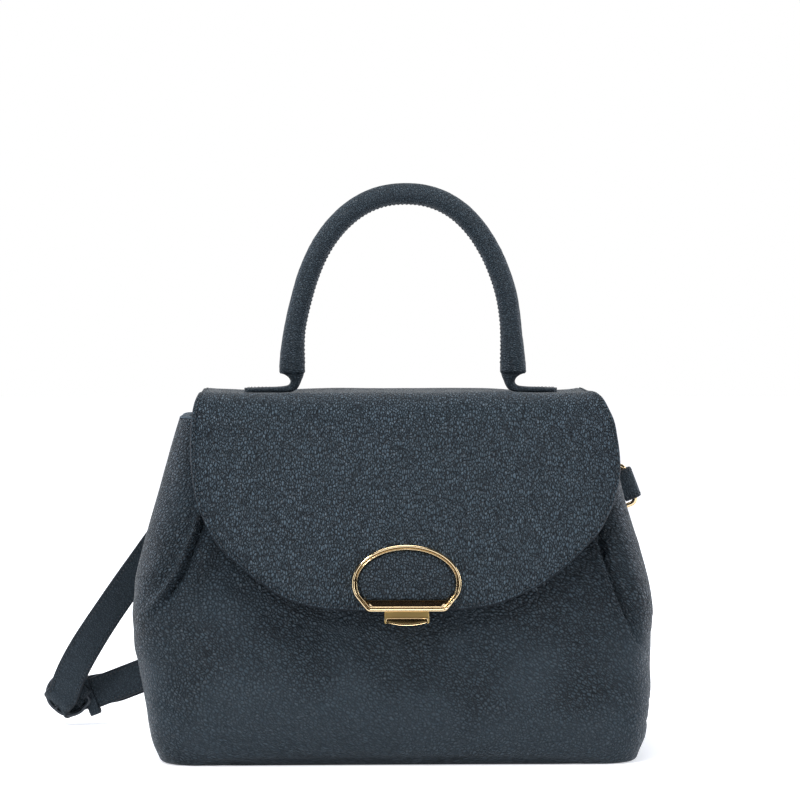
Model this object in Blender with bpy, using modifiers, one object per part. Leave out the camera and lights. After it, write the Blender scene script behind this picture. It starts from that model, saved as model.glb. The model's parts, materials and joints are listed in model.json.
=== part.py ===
"""Handbag with a flap, a top handle and a shoulder strap.

Metres, +Z up, +X to the viewer's right, the front faces -Y.
The origin is the middle of the base on the floor.
"""
import math

import bmesh
import bpy
from mathutils import Matrix, Vector

# Clearances and shared stock
GAP = 0.0003
LOOSE_GAP = 0.0008
LAYER_GAP = 0.0006
OVERRUN = 0.002
LEATHER = 0.0022
LINING_LEATHER = 0.0010
TURN_STEPS = 6

# Body shell
BODY_HEIGHT = 0.194
BODY_WIDTH = 0.300
BODY_DEPTH = 0.140
BASE_THICKNESS = 0.0030
BOARD_THICKNESS = 0.0022
LINING_ROOM = 0.0018
FACING_HEIGHT = 0.022
FACING_LIP = 0.0012
POCKET_WIDTH = 0.110
POCKET_HEIGHT = 0.080
POCKET_DROP = 0.040
POCKET_THICKNESS = 0.0012
POCKET_TOP = BODY_HEIGHT - POCKET_DROP
POCKET_STEPS = 2
CORNER_POWER_BASE = 4.6
CORNER_POWER_TOP = 5.6
BODY_ROWS = 9
LINING_ROWS = 7
BODY_STEPS = 18

# Height share of the body against share of its half width and half depth
WIDTH_SHARES = ((0.0, 0.890), (0.035, 0.925), (0.10, 0.955), (0.20, 0.985), (0.35, 1.0),
                (0.46, 0.993), (0.56, 0.970), (0.66, 0.938), (0.78, 0.893), (0.90, 0.848), (1.0, 0.815))
DEPTH_SHARES = ((0.0, 0.945), (0.035, 0.980), (0.12, 1.0), (0.25, 0.990), (0.43, 0.930),
                (0.60, 0.850), (0.80, 0.745), (1.0, 0.640))

# Flap
FLAP_LEATHER = 0.0015
FLAP_LINING = 0.0008
FLAP_RISE = 0.0136
FLAP_DROP = 0.1198
FLAP_TOP_Z = BODY_HEIGHT + FLAP_RISE
FLAP_LIP_Z = FLAP_TOP_Z - FLAP_DROP
FLAP_WIDTH = 0.241
FLAP_FRONT_BEND = 0.024
FLAP_BACK_BEND = 0.0095
FLAP_BOW = 0.008
FLAP_BOW_WIDTH = 0.240
FLAP_BOW_POWER = 3
FLAP_STEPS = 12
FLAP_TOP_STEPS = 4
FLAP_BEND_STEPS = 5
# Share of the front drop against share of the half width, from the top bend to the lip
FLAP_EDGE_SHARES = ((0.0, 0.987), (0.10, 0.996), (0.18, 1.0), (0.305, 0.988), (0.405, 0.969),
                    (0.485, 0.941), (0.58, 0.898), (0.665, 0.838), (0.74, 0.770), (0.805, 0.701),
                    (0.877, 0.617), (0.930, 0.523), (0.960, 0.454), (0.985, 0.353), (1.0, 0.240))
FLAP_TOP_EDGE_SHARE = 0.945
FLAP_HINGE_EDGE_SHARE = 0.900
HINGE_RISE = 0.004
HINGE_Z = BODY_HEIGHT + HINGE_RISE
STRIP_THICKNESS = 0.0018
STRIP_HEIGHT = 0.014
STRIP_STEPS = 14
STRIP_UP_STEPS = 2
STRIP_EDGE_SHARE = 0.86

# Lock: distances out from the front panel, and up along its slope
LOCK_RISE = 0.0012
LOCK_Z = FLAP_LIP_Z + LOCK_RISE
CATCH_WIDTH = 0.022
CATCH_HEIGHT = 0.012
CATCH_THICKNESS = 0.0010
NOSE_WIDTH = 0.012
NOSE_HEIGHT = 0.0030
NOSE_REACH = 0.0027
STUD_RADIUS = 0.0016
STUD_SPACING = 0.0130
WASHER_THICKNESS = 0.0008
WASHER_RADIUS = 0.0030
LIP_HEIGHT = 0.0026
LIP_REACH = 0.0026
STEM_THICKNESS = 0.0010
STEM_WIDTH = 0.014
PLATE_THICKNESS = 0.0010
PLATE_WIDTH = 0.066
PLATE_HEIGHT = 0.0108
LUG_WIDTH = 0.008
LUG_HEIGHT = 0.0012
SPRING_ROOM = 0.0052
SPRING_RADIUS = 0.0011
SPRING_WIRE = 0.0005
SPRING_TURNS = 5
SPRING_TURN_POINTS = 8
SLIDER_TRAVEL = 0.0025
SLIDER_WIDTH = 0.0245
SLIDER_PLATE = 0.0011
SLIDER_HEIGHT = 0.0071
LENS_HEIGHT = 0.0040
LENS_SAGITTA = 0.0023
LENS_THICKNESS = 0.0030
TONGUE_HEIGHT = 0.0030
LENS_STEPS = 12

# Clasp frame
FRAME_WIDTH = 0.061
FRAME_HEIGHT = 0.0373
FRAME_THICKNESS = 0.0030
FRAME_BAND = 0.0030
FRAME_BAR = 0.0060
FRAME_BELLY = 0.0158
FRAME_FLAT = 0.0435
FRAME_SHOULDER = 0.0090
FRAME_DROP = 0.0024
FRAME_BEVEL = 0.0009
FRAME_STEPS = 32
POST_RADIUS = 0.0014
POST_DROP = 0.0040
SCREW_HEAD_RADIUS = 0.0026
SCREW_HEAD = 0.0009
SCREW_SHANK_RADIUS = 0.0008
SCREW_SHANK = 0.0022
INLAY_CROWN = 0.0026
INLAY_SHARES = ((1.0, 0.0), (1.0, 0.30), (0.96, 0.62), (0.84, 0.86), (0.60, 0.97), (0.30, 1.0))

# Handle
HANDLE_Y = 0.002
HANDLE_RADIUS = 0.0062
HANDLE_FLARE = 0.0074
HANDLE_WALL = 0.0017
HANDLE_HALF_SPAN = 0.0645
HANDLE_HEIGHT = 0.110
HANDLE_RISE = 0.0094
HANDLE_END_Z = FLAP_TOP_Z + HANDLE_RISE
HANDLE_POWER = 2.2
HANDLE_STEPS = 28
HANDLE_FLARE_LENGTH = 0.040
TAB_THICKNESS = 0.0026
TAB_DEPTH = 0.016
TAB_LEFT_REACH = 0.027
TAB_RIGHT_REACH = 0.025
NECK_THICKNESS = 0.0038
NECK_RADIUS = 0.0055
NECK_STEPS = 10

# Strap, rings and their tabs
STRAP_WIDTH = 0.0190
STRAP_THICKNESS = 0.0024
RING_WIRE = 0.0015
RING_LENGTH = 0.0160
RING_INNER_WIDTH = 0.0212
RING_CORNER = 0.0035
RING_CORNER_STEPS = 4
RING_TAB_LEATHER = 0.0012
RING_TAB_LENGTH = 0.022
RING_TAB_CLOSE = 0.012
RING_LEFT_X = -0.1126
RING_LEFT_DROP = 0.036
RING_LEFT_ANGLE = math.radians(-126.0)
RING_RIGHT_X = 0.1230
RING_RIGHT_DROP = 0.050
RING_RIGHT_ANGLE = math.radians(21.0)
LOOP_LEFT_TAB = 0.0105
LOOP_RIGHT_TAB = 0.0060
LOOP_LEFT_LENGTH = 0.020
LOOP_RIGHT_LENGTH = 0.0060
LOOP_SWING_GAP = 0.0012
KNEE_X = -0.193
KNEE_Z = 0.054
KNEE_SHARE = 0.5
FOLD_X = -0.2014
FOLD_Y = 0.086
FOLD_Z = 0.0196
FOLD_STEPS = 8
LOWER_BOW = 0.012
TAIL_LENGTH = 0.250
SHORT_TAB = 0.0040
RUN_FROM = 0.011
BUCKLE_WIRE = 0.0013
BUCKLE_WIDTH = 0.0226
BUCKLE_OUT = 0.0120
BUCKLE_IN = 0.0065
BUCKLE_CORNER = 0.0090
BUCKLE_INNER_CORNER = 0.0020
PRONG_RADIUS = 0.0009
PRONG_HOLE = 0.0013
KEEPER_WIDTH = 0.0065
KEEPER_THICKNESS = 0.0012
KEEPER_PLACE = 0.0175
RUN_STEPS = 14

NAVY = (0.032, 0.043, 0.055)
DARK = (0.020, 0.026, 0.033)
CLOTH = (0.060, 0.065, 0.075)
GOLD = (0.83, 0.66, 0.36)
STEEL = (0.45, 0.45, 0.46)
BOARD = (0.35, 0.30, 0.24)

for leftover in list(bpy.data.objects):
    bpy.data.objects.remove(leftover, do_unlink=True)

PARTS = bpy.data.collections.new("handbag")
CUTTERS = bpy.data.collections.new("cutters")
bpy.context.scene.collection.children.link(PARTS)
bpy.context.scene.collection.children.link(CUTTERS)


def material(name, colour, roughness, metallic):
    """A Principled material in one colour."""
    made = bpy.data.materials.new(name)
    made.use_nodes = True
    shader = made.node_tree.nodes["Principled BSDF"]
    shader.inputs["Base Color"].default_value = (*colour, 1.0)
    shader.inputs["Roughness"].default_value = roughness
    shader.inputs["Metallic"].default_value = metallic
    return made


def leather(name):
    return material(name, NAVY, 0.5, 0.0)


def gold(name):
    return material(name, GOLD, 0.18, 1.0)


def finish_mesh(thing, smooth):
    """Point the faces out and shade round pieces smooth."""
    shape = bmesh.new()
    shape.from_mesh(thing.data)
    bmesh.ops.recalc_face_normals(shape, faces=shape.faces)
    shape.to_mesh(thing.data)
    shape.free()
    if smooth:
        thing.data.shade_smooth()
        thing.data.set_sharp_from_angle(angle=math.radians(35.0))


def add_object(name, verts, faces, finish, smooth=True, frame=None, cutter=False):
    """One named solid, placed by its frame when it has one."""
    mesh = bpy.data.meshes.new(name)
    mesh.from_pydata([tuple(v) for v in verts], [], faces)
    thing = bpy.data.objects.new(name, mesh)
    (CUTTERS if cutter else PARTS).objects.link(thing)
    if finish is not None:
        mesh.materials.append(finish)
    if frame is not None:
        thing.parent = frame
    if cutter:
        thing.hide_render = True
        thing.display_type = "WIRE"
    finish_mesh(thing, smooth)
    return thing


def loft(name, rings, finish, caps="face", wrap=False, **options):
    """A skin through closed rings of equal count, with its ends capped or joined."""
    count = len(rings[0])
    verts = [point for ring in rings for point in ring]
    faces = []
    spans = len(rings) if wrap else len(rings) - 1
    for row in range(spans):
        low = row * count
        high = (row + 1) % len(rings) * count
        for step in range(count):
            after = (step + 1) % count
            faces.append((low + step, low + after, high + after, high + step))
    if not wrap:
        last = (len(rings) - 1) * count
        if caps == "face":
            faces.append(tuple(range(count)))
            faces.append(tuple(last + step for step in range(count)))
        else:
            for step in range(count // 2 - 1):
                facing = count - 1 - step
                faces.append((step, step + 1, facing - 1, facing))
                faces.append((last + step, last + step + 1, last + facing - 1, last + facing))
    return add_object(name, verts, faces, finish, **options)


def box(name, low, high, finish, **options):
    """A box between two corners."""
    rings = []
    for z in (low[2], high[2]):
        rings.append([Vector((low[0], low[1], z)), Vector((high[0], low[1], z)),
                      Vector((high[0], high[1], z)), Vector((low[0], high[1], z))])
    return loft(name, rings, finish, smooth=False, **options)


def rod(name, start, end, radius, finish, sides=20, **options):
    """A cylinder between two points, from a cone primitive."""
    shape = bmesh.new()
    bmesh.ops.create_cone(shape, cap_ends=True, segments=sides, radius1=radius, radius2=radius,
                          depth=(end - start).length)
    turn = Vector((0, 0, 1)).rotation_difference(end - start).to_matrix().to_4x4()
    shape.transform(Matrix.Translation((start + end) / 2) @ turn)
    verts = [vert.co.copy() for vert in shape.verts]
    faces = [tuple(vert.index for vert in face.verts) for face in shape.faces]
    shape.free()
    return add_object(name, verts, faces, finish, **options)


def wire(name, points, radius, finish, cyclic=False, radii=None, sides=3, frame=None, caps=True):
    """A tube along a poly curve."""
    curve = bpy.data.curves.new(name, "CURVE")
    curve.dimensions = "3D"
    curve.bevel_depth = radius
    curve.bevel_resolution = sides
    curve.use_fill_caps = caps
    spline = curve.splines.new("POLY")
    spline.points.add(len(points) - 1)
    for step, point in enumerate(points):
        spline.points[step].co = (*point, 1.0)
        if radii:
            spline.points[step].radius = radii[step]
    spline.use_cyclic_u = cyclic
    curve.materials.append(finish)
    thing = bpy.data.objects.new(name, curve)
    PARTS.objects.link(thing)
    if frame is not None:
        thing.parent = frame
    return thing


def cut(thing, cutter):
    """Take a cutter out of a solid."""
    step = thing.modifiers.new("cut " + cutter.name, "BOOLEAN")
    step.operation = "DIFFERENCE"
    step.object = cutter


def join(thing, addition):
    """Add an overlapping shape to a solid."""
    step = thing.modifiers.new("join " + addition.name, "BOOLEAN")
    step.operation = "UNION"
    step.object = addition


def read_shares(table, share):
    """Smooth reading of a share table, by Hermite spans."""
    share = min(max(share, table[0][0]), table[-1][0])
    for place in range(len(table) - 1):
        if share <= table[place + 1][0]:
            break
    (x0, y0), (x1, y1) = table[place], table[place + 1]
    before = table[max(place - 1, 0)]
    after = table[min(place + 2, len(table) - 1)]
    slope0 = (y1 - before[1]) / (x1 - before[0])
    slope1 = (after[1] - y0) / (after[0] - x0)
    t = (share - x0) / (x1 - x0)
    span = x1 - x0
    return ((2 * t**3 - 3 * t**2 + 1) * y0 + (t**3 - 2 * t**2 + t) * span * slope0
            + (3 * t**2 - 2 * t**3) * y1 + (t**3 - t**2) * span * slope1)


def half_width(z):
    return BODY_WIDTH / 2 * read_shares(WIDTH_SHARES, z / BODY_HEIGHT)


def half_depth(z):
    return BODY_DEPTH / 2 * read_shares(DEPTH_SHARES, z / BODY_HEIGHT)


def corner_power(z):
    share = min(max(z / BODY_HEIGHT, 0.0), 1.0)
    return CORNER_POWER_BASE + (CORNER_POWER_TOP - CORNER_POWER_BASE) * share


def section_point(z, angle, inset):
    """A point of the body's outline at one height, moved in by an inset."""
    power = 2 / corner_power(z)
    cosine = math.cos(angle)
    sine = math.sin(angle)
    x = math.copysign(abs(cosine) ** power, cosine) * (half_width(z) - inset)
    y = math.copysign(abs(sine) ** power, sine) * (half_depth(z) - inset)
    return Vector((x, y, z))


def wall_y(x, z, inset=0.0):
    """How far back the body's wall lies at a place across it."""
    share = min(abs(x) / (half_width(z) - inset), 0.999)
    return (half_depth(z) - inset) * (1 - share ** corner_power(z)) ** (1 / corner_power(z))


def outline(z, inset):
    """The whole outline at one height."""
    count = 2 * BODY_STEPS
    return [section_point(z, math.tau * step / count, inset) for step in range(count)]


def rows(low, high, count):
    return [low + (high - low) * step / count for step in range(count + 1)]


def half_ring(z, side, near, far):
    """A half outline with a thickness, front side -1 or back side 1."""
    ring = []
    for inset, order in ((near, range(BODY_STEPS + 1)), (far, range(BODY_STEPS, -1, -1))):
        for step in order:
            point = section_point(z, side * math.pi * step / BODY_STEPS, inset)
            point.y = side * max(side * point.y, GAP / 2)
            ring.append(point)
    return ring


def make_body():
    """Front and back panels, base, board, lining, mouth facing and pocket."""
    foot = BASE_THICKNESS + GAP
    heights = rows(foot, BODY_HEIGHT, BODY_ROWS)
    panels = []
    for name, side in (("front_panel", -1), ("back_panel", 1)):
        rings = [half_ring(z, side, 0.0, LEATHER) for z in heights]
        panels.append(loft(name, rings, leather(name), caps="strip"))
    base = [outline(0.0, BASE_THICKNESS / 2), outline(BASE_THICKNESS / 2, 0.0), outline(BASE_THICKNESS, 0.0)]
    for ring, z in zip(base, (0.0, BASE_THICKNESS / 2, BASE_THICKNESS)):
        for point in ring:
            point.z = z
    loft("base_panel", base, leather("base_panel"))
    board_foot = foot
    board_top = board_foot + BOARD_THICKNESS
    board = [outline(z, LEATHER + 2 * LOOSE_GAP) for z in (board_foot, board_top)]
    loft("base_board", board, material("base_board", BOARD, 0.8, 0.0))
    lining_inset = LEATHER + LINING_ROOM
    floor = board_top + GAP
    outer = [outline(z, lining_inset) for z in rows(floor, BODY_HEIGHT, LINING_ROWS)]
    inner_floor = floor + LINING_LEATHER
    inner = [outline(z, lining_inset + LINING_LEATHER) for z in rows(inner_floor, BODY_HEIGHT, LINING_ROWS)]
    loft("lining", outer + inner[::-1], material("lining", CLOTH, 0.85, 0.0))
    leg = lining_inset + LINING_LEATHER + GAP
    leg_in = leg + FACING_LIP
    low = BODY_HEIGHT - FACING_HEIGHT
    seat = BODY_HEIGHT + GAP
    top = seat + FACING_LIP
    profile = ((0.0, seat), (0.0, top), (leg_in, top), (leg_in, low), (leg, low), (leg, seat))
    rings = []
    for inset, z in profile:
        ring = outline(min(z, BODY_HEIGHT), inset)
        for point in ring:
            point.z = z
        rings.append(ring)
    loft("mouth_facing", rings, leather("mouth_facing"), wrap=True)
    pocket_near = lining_inset + LINING_LEATHER + LOOSE_GAP
    rings = []
    columns = rows(-POCKET_WIDTH / 2, POCKET_WIDTH / 2, STRIP_STEPS)
    for z in rows(POCKET_TOP - POCKET_HEIGHT, POCKET_TOP, POCKET_STEPS):
        near = [Vector((x, wall_y(x, z, pocket_near), z)) for x in columns]
        far = [Vector((x, wall_y(x, z, pocket_near + POCKET_THICKNESS), z)) for x in reversed(columns)]
        rings.append(near + far)
    loft("slip_pocket", rings, material("slip_pocket", CLOTH, 0.85, 0.0), caps="strip")
    return panels


def lock_frame():
    """An empty on the front panel: local -Y points out of it, local +Z up along its slope."""
    step = LOCK_Z / 8
    lean = math.atan((half_depth(LOCK_Z - step) - half_depth(LOCK_Z + step)) / (2 * step))
    frame = bpy.data.objects.new("lock_place", None)
    frame.location = (0.0, -half_depth(LOCK_Z), LOCK_Z)
    frame.rotation_euler = (-lean, 0.0, 0.0)
    PARTS.objects.link(frame)
    return frame, lean


# Stack of the lock, each measured out from the front panel
CATCH_FACE = GAP + CATCH_THICKNESS
NOSE_FACE = CATCH_FACE + NOSE_REACH
STEM_BACK = NOSE_FACE + 2 * GAP
STEM_FACE = STEM_BACK + STEM_THICKNESS
PLATE_BACK = STEM_FACE + GAP
PLATE_FACE = PLATE_BACK + PLATE_THICKNESS
FLAP_BACK = PLATE_FACE + GAP
LEATHER_BACK = FLAP_BACK + FLAP_LINING + LAYER_GAP
FLAP_FACE = LEATHER_BACK + FLAP_LEATHER
FRAME_BACK = FLAP_FACE + GAP
FRAME_FACE = FRAME_BACK + FRAME_THICKNESS
SLIDER_FACE = FRAME_BACK + SLIDER_PLATE
BAR_LOW = FLAP_LIP_Z - LOCK_Z - FRAME_DROP
FRAME_CROWN = FRAME_HEIGHT - FRAME_BELLY
POST_UP = BAR_LOW + FRAME_BELLY - POST_DROP
POST_X = FRAME_WIDTH / 2 * math.sqrt(1 - (POST_DROP / FRAME_CROWN) ** 2) - FRAME_BAND / 2
LIP_LOW = GAP


def out(x, outward, up):
    """A point in the lock's frame."""
    return Vector((x, -outward, up))


def frame_outline(shrink):
    """The clasp's outline: an elliptic crown, straight shoulders and a flat foot."""
    half = FRAME_WIDTH / 2
    lower = math.asin((FRAME_BELLY - FRAME_SHOULDER) / FRAME_CROWN)
    points = []
    for step in range(FRAME_STEPS + 1):
        angle = -lower + (math.pi + 2 * lower) * step / FRAME_STEPS
        up = FRAME_BELLY + (FRAME_CROWN - shrink) * math.sin(angle)
        points.append(((half - shrink) * math.cos(angle), up))
    foot = FRAME_FLAT / 2 - shrink * math.tan(math.pi / 8)
    rise = shrink * FRAME_BAR / FRAME_BAND
    points.append((-foot, rise))
    points.append((foot, rise))
    return points


def clasp_ring(shrink, outward):
    return [out(x, outward, BAR_LOW + up) for x, up in frame_outline(shrink)]


def make_clasp(frame):
    """Frame with its posts, padded inlay, plate, screws and spring."""
    bevel = FRAME_BEVEL
    rings = [clasp_ring(0.0, FRAME_BACK), clasp_ring(0.0, FRAME_FACE - bevel), clasp_ring(bevel, FRAME_FACE),
             clasp_ring(FRAME_BAND - bevel, FRAME_FACE), clasp_ring(FRAME_BAND, FRAME_FACE - bevel),
             clasp_ring(FRAME_BAND, FRAME_BACK)]
    clasp = loft("clasp_frame", rings, gold("clasp_frame"), wrap=True, frame=frame)
    pocket = box("slider_pocket", (-SLIDER_WIDTH / 2 - GAP, -SLIDER_FACE - GAP, BAR_LOW - OVERRUN),
                 (SLIDER_WIDTH / 2 + GAP, -FRAME_BACK + OVERRUN, BAR_LOW + SLIDER_TRAVEL + SLIDER_PLATE + GAP),
                 None, frame=frame, cutter=True)
    cut(clasp, pocket)
    for name, side in (("left", -1), ("right", 1)):
        x = side * POST_X
        post_end = out(x, FRAME_BACK + FRAME_BEVEL, POST_UP)
        post = rod("post_" + name, out(x, PLATE_BACK, POST_UP), post_end, POST_RADIUS, None,
                   frame=frame, cutter=True)
        join(clasp, post)
        thread = rod("post_bore_" + name, out(x, PLATE_BACK - OVERRUN, POST_UP),
                     out(x, PLATE_BACK + SCREW_SHANK + GAP, POST_UP), SCREW_SHANK_RADIUS + GAP, None,
                     frame=frame, cutter=True)
        cut(clasp, thread)
        head_face = PLATE_BACK - GAP - SCREW_HEAD
        screw = rod("clasp_screw_" + name, out(x, head_face, POST_UP), out(x, head_face + SCREW_HEAD, POST_UP),
                    SCREW_HEAD_RADIUS, gold("clasp_screw_" + name), frame=frame)
        shank = rod("screw_shank_" + name, out(x, head_face + SCREW_HEAD / 2, POST_UP),
                    out(x, PLATE_BACK + SCREW_SHANK, POST_UP), SCREW_SHANK_RADIUS, None,
                    frame=frame, cutter=True)
        join(screw, shank)
    rings = []
    for spread, rise in INLAY_SHARES:
        ring = []
        for x, up in frame_outline(FRAME_BAND + GAP):
            height = BAR_LOW + FRAME_BELLY + (up - FRAME_BELLY) * spread
            ring.append(out(x * spread, FRAME_BACK + INLAY_CROWN * rise, height))
        rings.append(ring)
    loft("clasp_inlay", rings, leather("clasp_inlay"), frame=frame)
    plate_low = POST_UP + SCREW_HEAD_RADIUS + GAP - PLATE_HEIGHT
    plate = box("clasp_backplate", (-PLATE_WIDTH / 2, -PLATE_FACE, plate_low),
                (PLATE_WIDTH / 2, -PLATE_BACK, plate_low + PLATE_HEIGHT),
                material("clasp_backplate", STEEL, 0.35, 1.0), frame=frame)
    lug_low = LIP_LOW + LIP_HEIGHT + GAP + SPRING_ROOM + GAP
    lug = box("spring_lug", (-LUG_WIDTH / 2, -PLATE_FACE + PLATE_THICKNESS / 2, lug_low),
              (LUG_WIDTH / 2, -CATCH_FACE - LOOSE_GAP, lug_low + LUG_HEIGHT), None, frame=frame, cutter=True)
    join(plate, lug)
    spring_out = STEM_BACK - SPRING_RADIUS
    points = []
    for step in range(SPRING_TURNS * SPRING_TURN_POINTS + 1):
        angle = math.tau * step / SPRING_TURN_POINTS
        low = LIP_LOW + LIP_HEIGHT + GAP + SPRING_WIRE / 2
        rise = (SPRING_ROOM - SPRING_WIRE) * step / (SPRING_TURNS * SPRING_TURN_POINTS)
        outward = spring_out + SPRING_RADIUS * math.sin(angle)
        points.append(out(SPRING_RADIUS * math.cos(angle), outward, low + rise))
    steel = material("latch_spring", STEEL, 0.3, 1.0)
    wire("latch_spring", points, SPRING_WIRE / 2, steel, sides=1, frame=frame)
    return plate


def make_slider(frame):
    """Thumb tab with its tongue under the flap's edge and its lip above the catch."""
    foot = BAR_LOW - GAP - SLIDER_HEIGHT
    lens_top = foot + LENS_HEIGHT - GAP
    edge = []
    for step in range(LENS_STEPS + 1):
        share = 2 * step / LENS_STEPS - 1
        edge.append((SLIDER_WIDTH / 2 * share, foot + LENS_SAGITTA * share**2))

    def tab(near, far, top):
        rings = []
        for outward in (near, far):
            ring = [out(x, outward, up) for x, up in edge]
            ring += [out(SLIDER_WIDTH / 2, outward, top), out(-SLIDER_WIDTH / 2, outward, top)]
            rings.append(ring)
        return rings

    slider = loft("latch_slider", tab(FRAME_BACK, SLIDER_FACE, BAR_LOW + SLIDER_PLATE), gold("latch_slider"),
                  frame=frame)
    lens = loft("slider_lens", tab(FRAME_BACK + GAP, FRAME_BACK + GAP + LENS_THICKNESS, lens_top), None,
                frame=frame, cutter=True)
    join(slider, lens)
    tongue_low = foot + LENS_SAGITTA / 4
    tongue = box("slider_tongue", (-STEM_WIDTH / 2, -FRAME_BACK - SLIDER_PLATE / 2, tongue_low),
                 (STEM_WIDTH / 2, -STEM_BACK, tongue_low + TONGUE_HEIGHT), None, frame=frame, cutter=True)
    join(slider, tongue)
    stem = box("slider_stem", (-STEM_WIDTH / 2, -STEM_FACE, tongue_low),
               (STEM_WIDTH / 2, -STEM_BACK, LIP_LOW + LIP_HEIGHT), None, frame=frame, cutter=True)
    join(slider, stem)
    lip = box("slider_lip", (-NOSE_WIDTH / 2, -STEM_BACK - STEM_THICKNESS / 2, LIP_LOW),
              (NOSE_WIDTH / 2, -STEM_BACK + LIP_REACH, LIP_LOW + LIP_HEIGHT), None, frame=frame, cutter=True)
    join(slider, lip)


def make_catch(frame, front):
    """Catch with two studs through the front panel, and washers behind it."""
    catch = box("catch_plate", (-CATCH_WIDTH / 2, -CATCH_FACE, -CATCH_HEIGHT / 2),
                (CATCH_WIDTH / 2, -GAP, CATCH_HEIGHT / 2), gold("catch_plate"), frame=frame)
    nose = box("catch_nose", (-NOSE_WIDTH / 2, -NOSE_FACE, -NOSE_HEIGHT),
               (NOSE_WIDTH / 2, -GAP - CATCH_THICKNESS / 2, 0.0), None, frame=frame, cutter=True)
    join(catch, nose)
    for name, side in (("left", -1), ("right", 1)):
        x = side * STUD_SPACING / 2
        stud = rod("stud_" + name, out(x, -LEATHER, 0.0), out(x, CATCH_FACE - CATCH_THICKNESS / 2, 0.0),
                   STUD_RADIUS, None, frame=frame, cutter=True)
        join(catch, stud)
        hole = rod("stud_hole_" + name, out(x, -LEATHER - OVERRUN, 0.0), out(x, OVERRUN, 0.0),
                   STUD_RADIUS + GAP, None, frame=frame, cutter=True)
        cut(front, hole)
        steel = material("catch_washer_" + name, STEEL, 0.35, 1.0)
        rod("catch_washer_" + name, out(x, -LEATHER - GAP - WASHER_THICKNESS, 0.0),
            out(x, -LEATHER - GAP, 0.0), WASHER_RADIUS, steel, frame=frame)


def flap_profile(lean, depth):
    """Side view of the flap from the hinge to the lip, moved in by a depth, with its width shares."""
    up = Vector((0.0, math.sin(lean), math.cos(lean)))
    face = Vector((0.0, -math.cos(lean), math.sin(lean)))
    lock = Vector((0.0, -half_depth(LOCK_Z), LOCK_Z))
    plane = lock + face * FLAP_FACE
    back_y = half_depth(BODY_HEIGHT) + GAP + STRIP_THICKNESS
    points = []

    def arc(centre, radius, start, end, last_share):
        for step in range(FLAP_BEND_STEPS + 1):
            share = step / FLAP_BEND_STEPS
            angle = start + (end - start) * share
            direction = Vector((0.0, math.cos(angle), math.sin(angle)))
            spread = FLAP_TOP_EDGE_SHARE + (last_share - FLAP_TOP_EDGE_SHARE) * share
            points.append((centre + direction * (radius - depth), spread))

    points.append((Vector((0.0, back_y - depth, HINGE_Z + GAP)), FLAP_HINGE_EDGE_SHARE))
    back_centre = Vector((0.0, back_y - FLAP_BACK_BEND, FLAP_TOP_Z - FLAP_BACK_BEND))
    arc(back_centre, FLAP_BACK_BEND, 0.0, math.pi / 2, FLAP_TOP_EDGE_SHARE)
    bend_z = FLAP_TOP_Z - FLAP_FRONT_BEND
    rise = (bend_z + FLAP_FRONT_BEND * face.z - plane.z) / up.z
    touch = plane + up * rise
    centre = touch - face * FLAP_FRONT_BEND
    first = points[-1][0]
    top_front = centre + Vector((0.0, 0.0, FLAP_FRONT_BEND - depth))
    for step in range(1, FLAP_TOP_STEPS):
        points.append((first.lerp(top_front, step / FLAP_TOP_STEPS), FLAP_TOP_EDGE_SHARE))
    arc(centre, FLAP_FRONT_BEND, math.pi / 2, math.pi - lean, FLAP_EDGE_SHARES[0][1])
    drop_from = points[-1][0]
    lip = plane - face * depth
    lip = lip + up * ((FLAP_LIP_Z - lip.z) / up.z)
    for share, spread in FLAP_EDGE_SHARES[1:]:
        points.append((drop_from.lerp(lip, share), spread))
    return points


def flap_ring(near, far, lean):
    """Closed cross-sections of a flap layer between two depths."""
    rings = []
    for (outer, spread), (inner, _) in zip(flap_profile(lean, near), flap_profile(lean, far)):
        half = FLAP_WIDTH / 2 * spread
        ring = []
        for point, order in ((outer, 1), (inner, -1)):
            for x in rows(-half * order, half * order, FLAP_STEPS):
                drop = min(max((FLAP_TOP_Z - point.z) / FLAP_FRONT_BEND, 0.0), 1.0)
                if point.y > 0:
                    drop = 0.0
                bow = FLAP_BOW * drop * abs(2 * x / FLAP_BOW_WIDTH) ** FLAP_BOW_POWER
                ring.append(Vector((x, point.y + bow, point.z)))
        rings.append(ring)
    return rings


def make_flap(frame, lean, plate):
    """Outer leather and lining of the flap, with holes for the clasp's posts."""
    outer = loft("flap_outer", flap_ring(0.0, FLAP_LEATHER, lean), leather("flap_outer"), caps="strip")
    inner_from = FLAP_LEATHER + LAYER_GAP
    inner = loft("flap_lining", flap_ring(inner_from, inner_from + FLAP_LINING, lean),
                 material("flap_lining", NAVY, 0.6, 0.0), caps="strip")
    for name, side in (("left", -1), ("right", 1)):
        x = side * POST_X
        hole = rod("post_hole_" + name, out(x, PLATE_BACK - OVERRUN, POST_UP),
                   out(x, FLAP_FACE + OVERRUN, POST_UP), POST_RADIUS + GAP, None, frame=frame, cutter=True)
        for thing in (outer, inner, plate):
            cut(thing, hole)
    rings = []
    strip_half = FLAP_WIDTH / 2 * STRIP_EDGE_SHARE
    columns = rows(-strip_half, strip_half, STRIP_STEPS)
    for z in rows(HINGE_Z - STRIP_HEIGHT, HINGE_Z - GAP, STRIP_UP_STEPS):
        level = min(z, BODY_HEIGHT)
        near = [Vector((x, wall_y(x, level) + GAP + STRIP_THICKNESS, z)) for x in columns]
        far = [Vector((x, wall_y(x, level) + GAP, z)) for x in reversed(columns)]
        rings.append(near + far)
    loft("flap_seam_strip", rings, leather("flap_seam_strip"), caps="strip")


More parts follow.
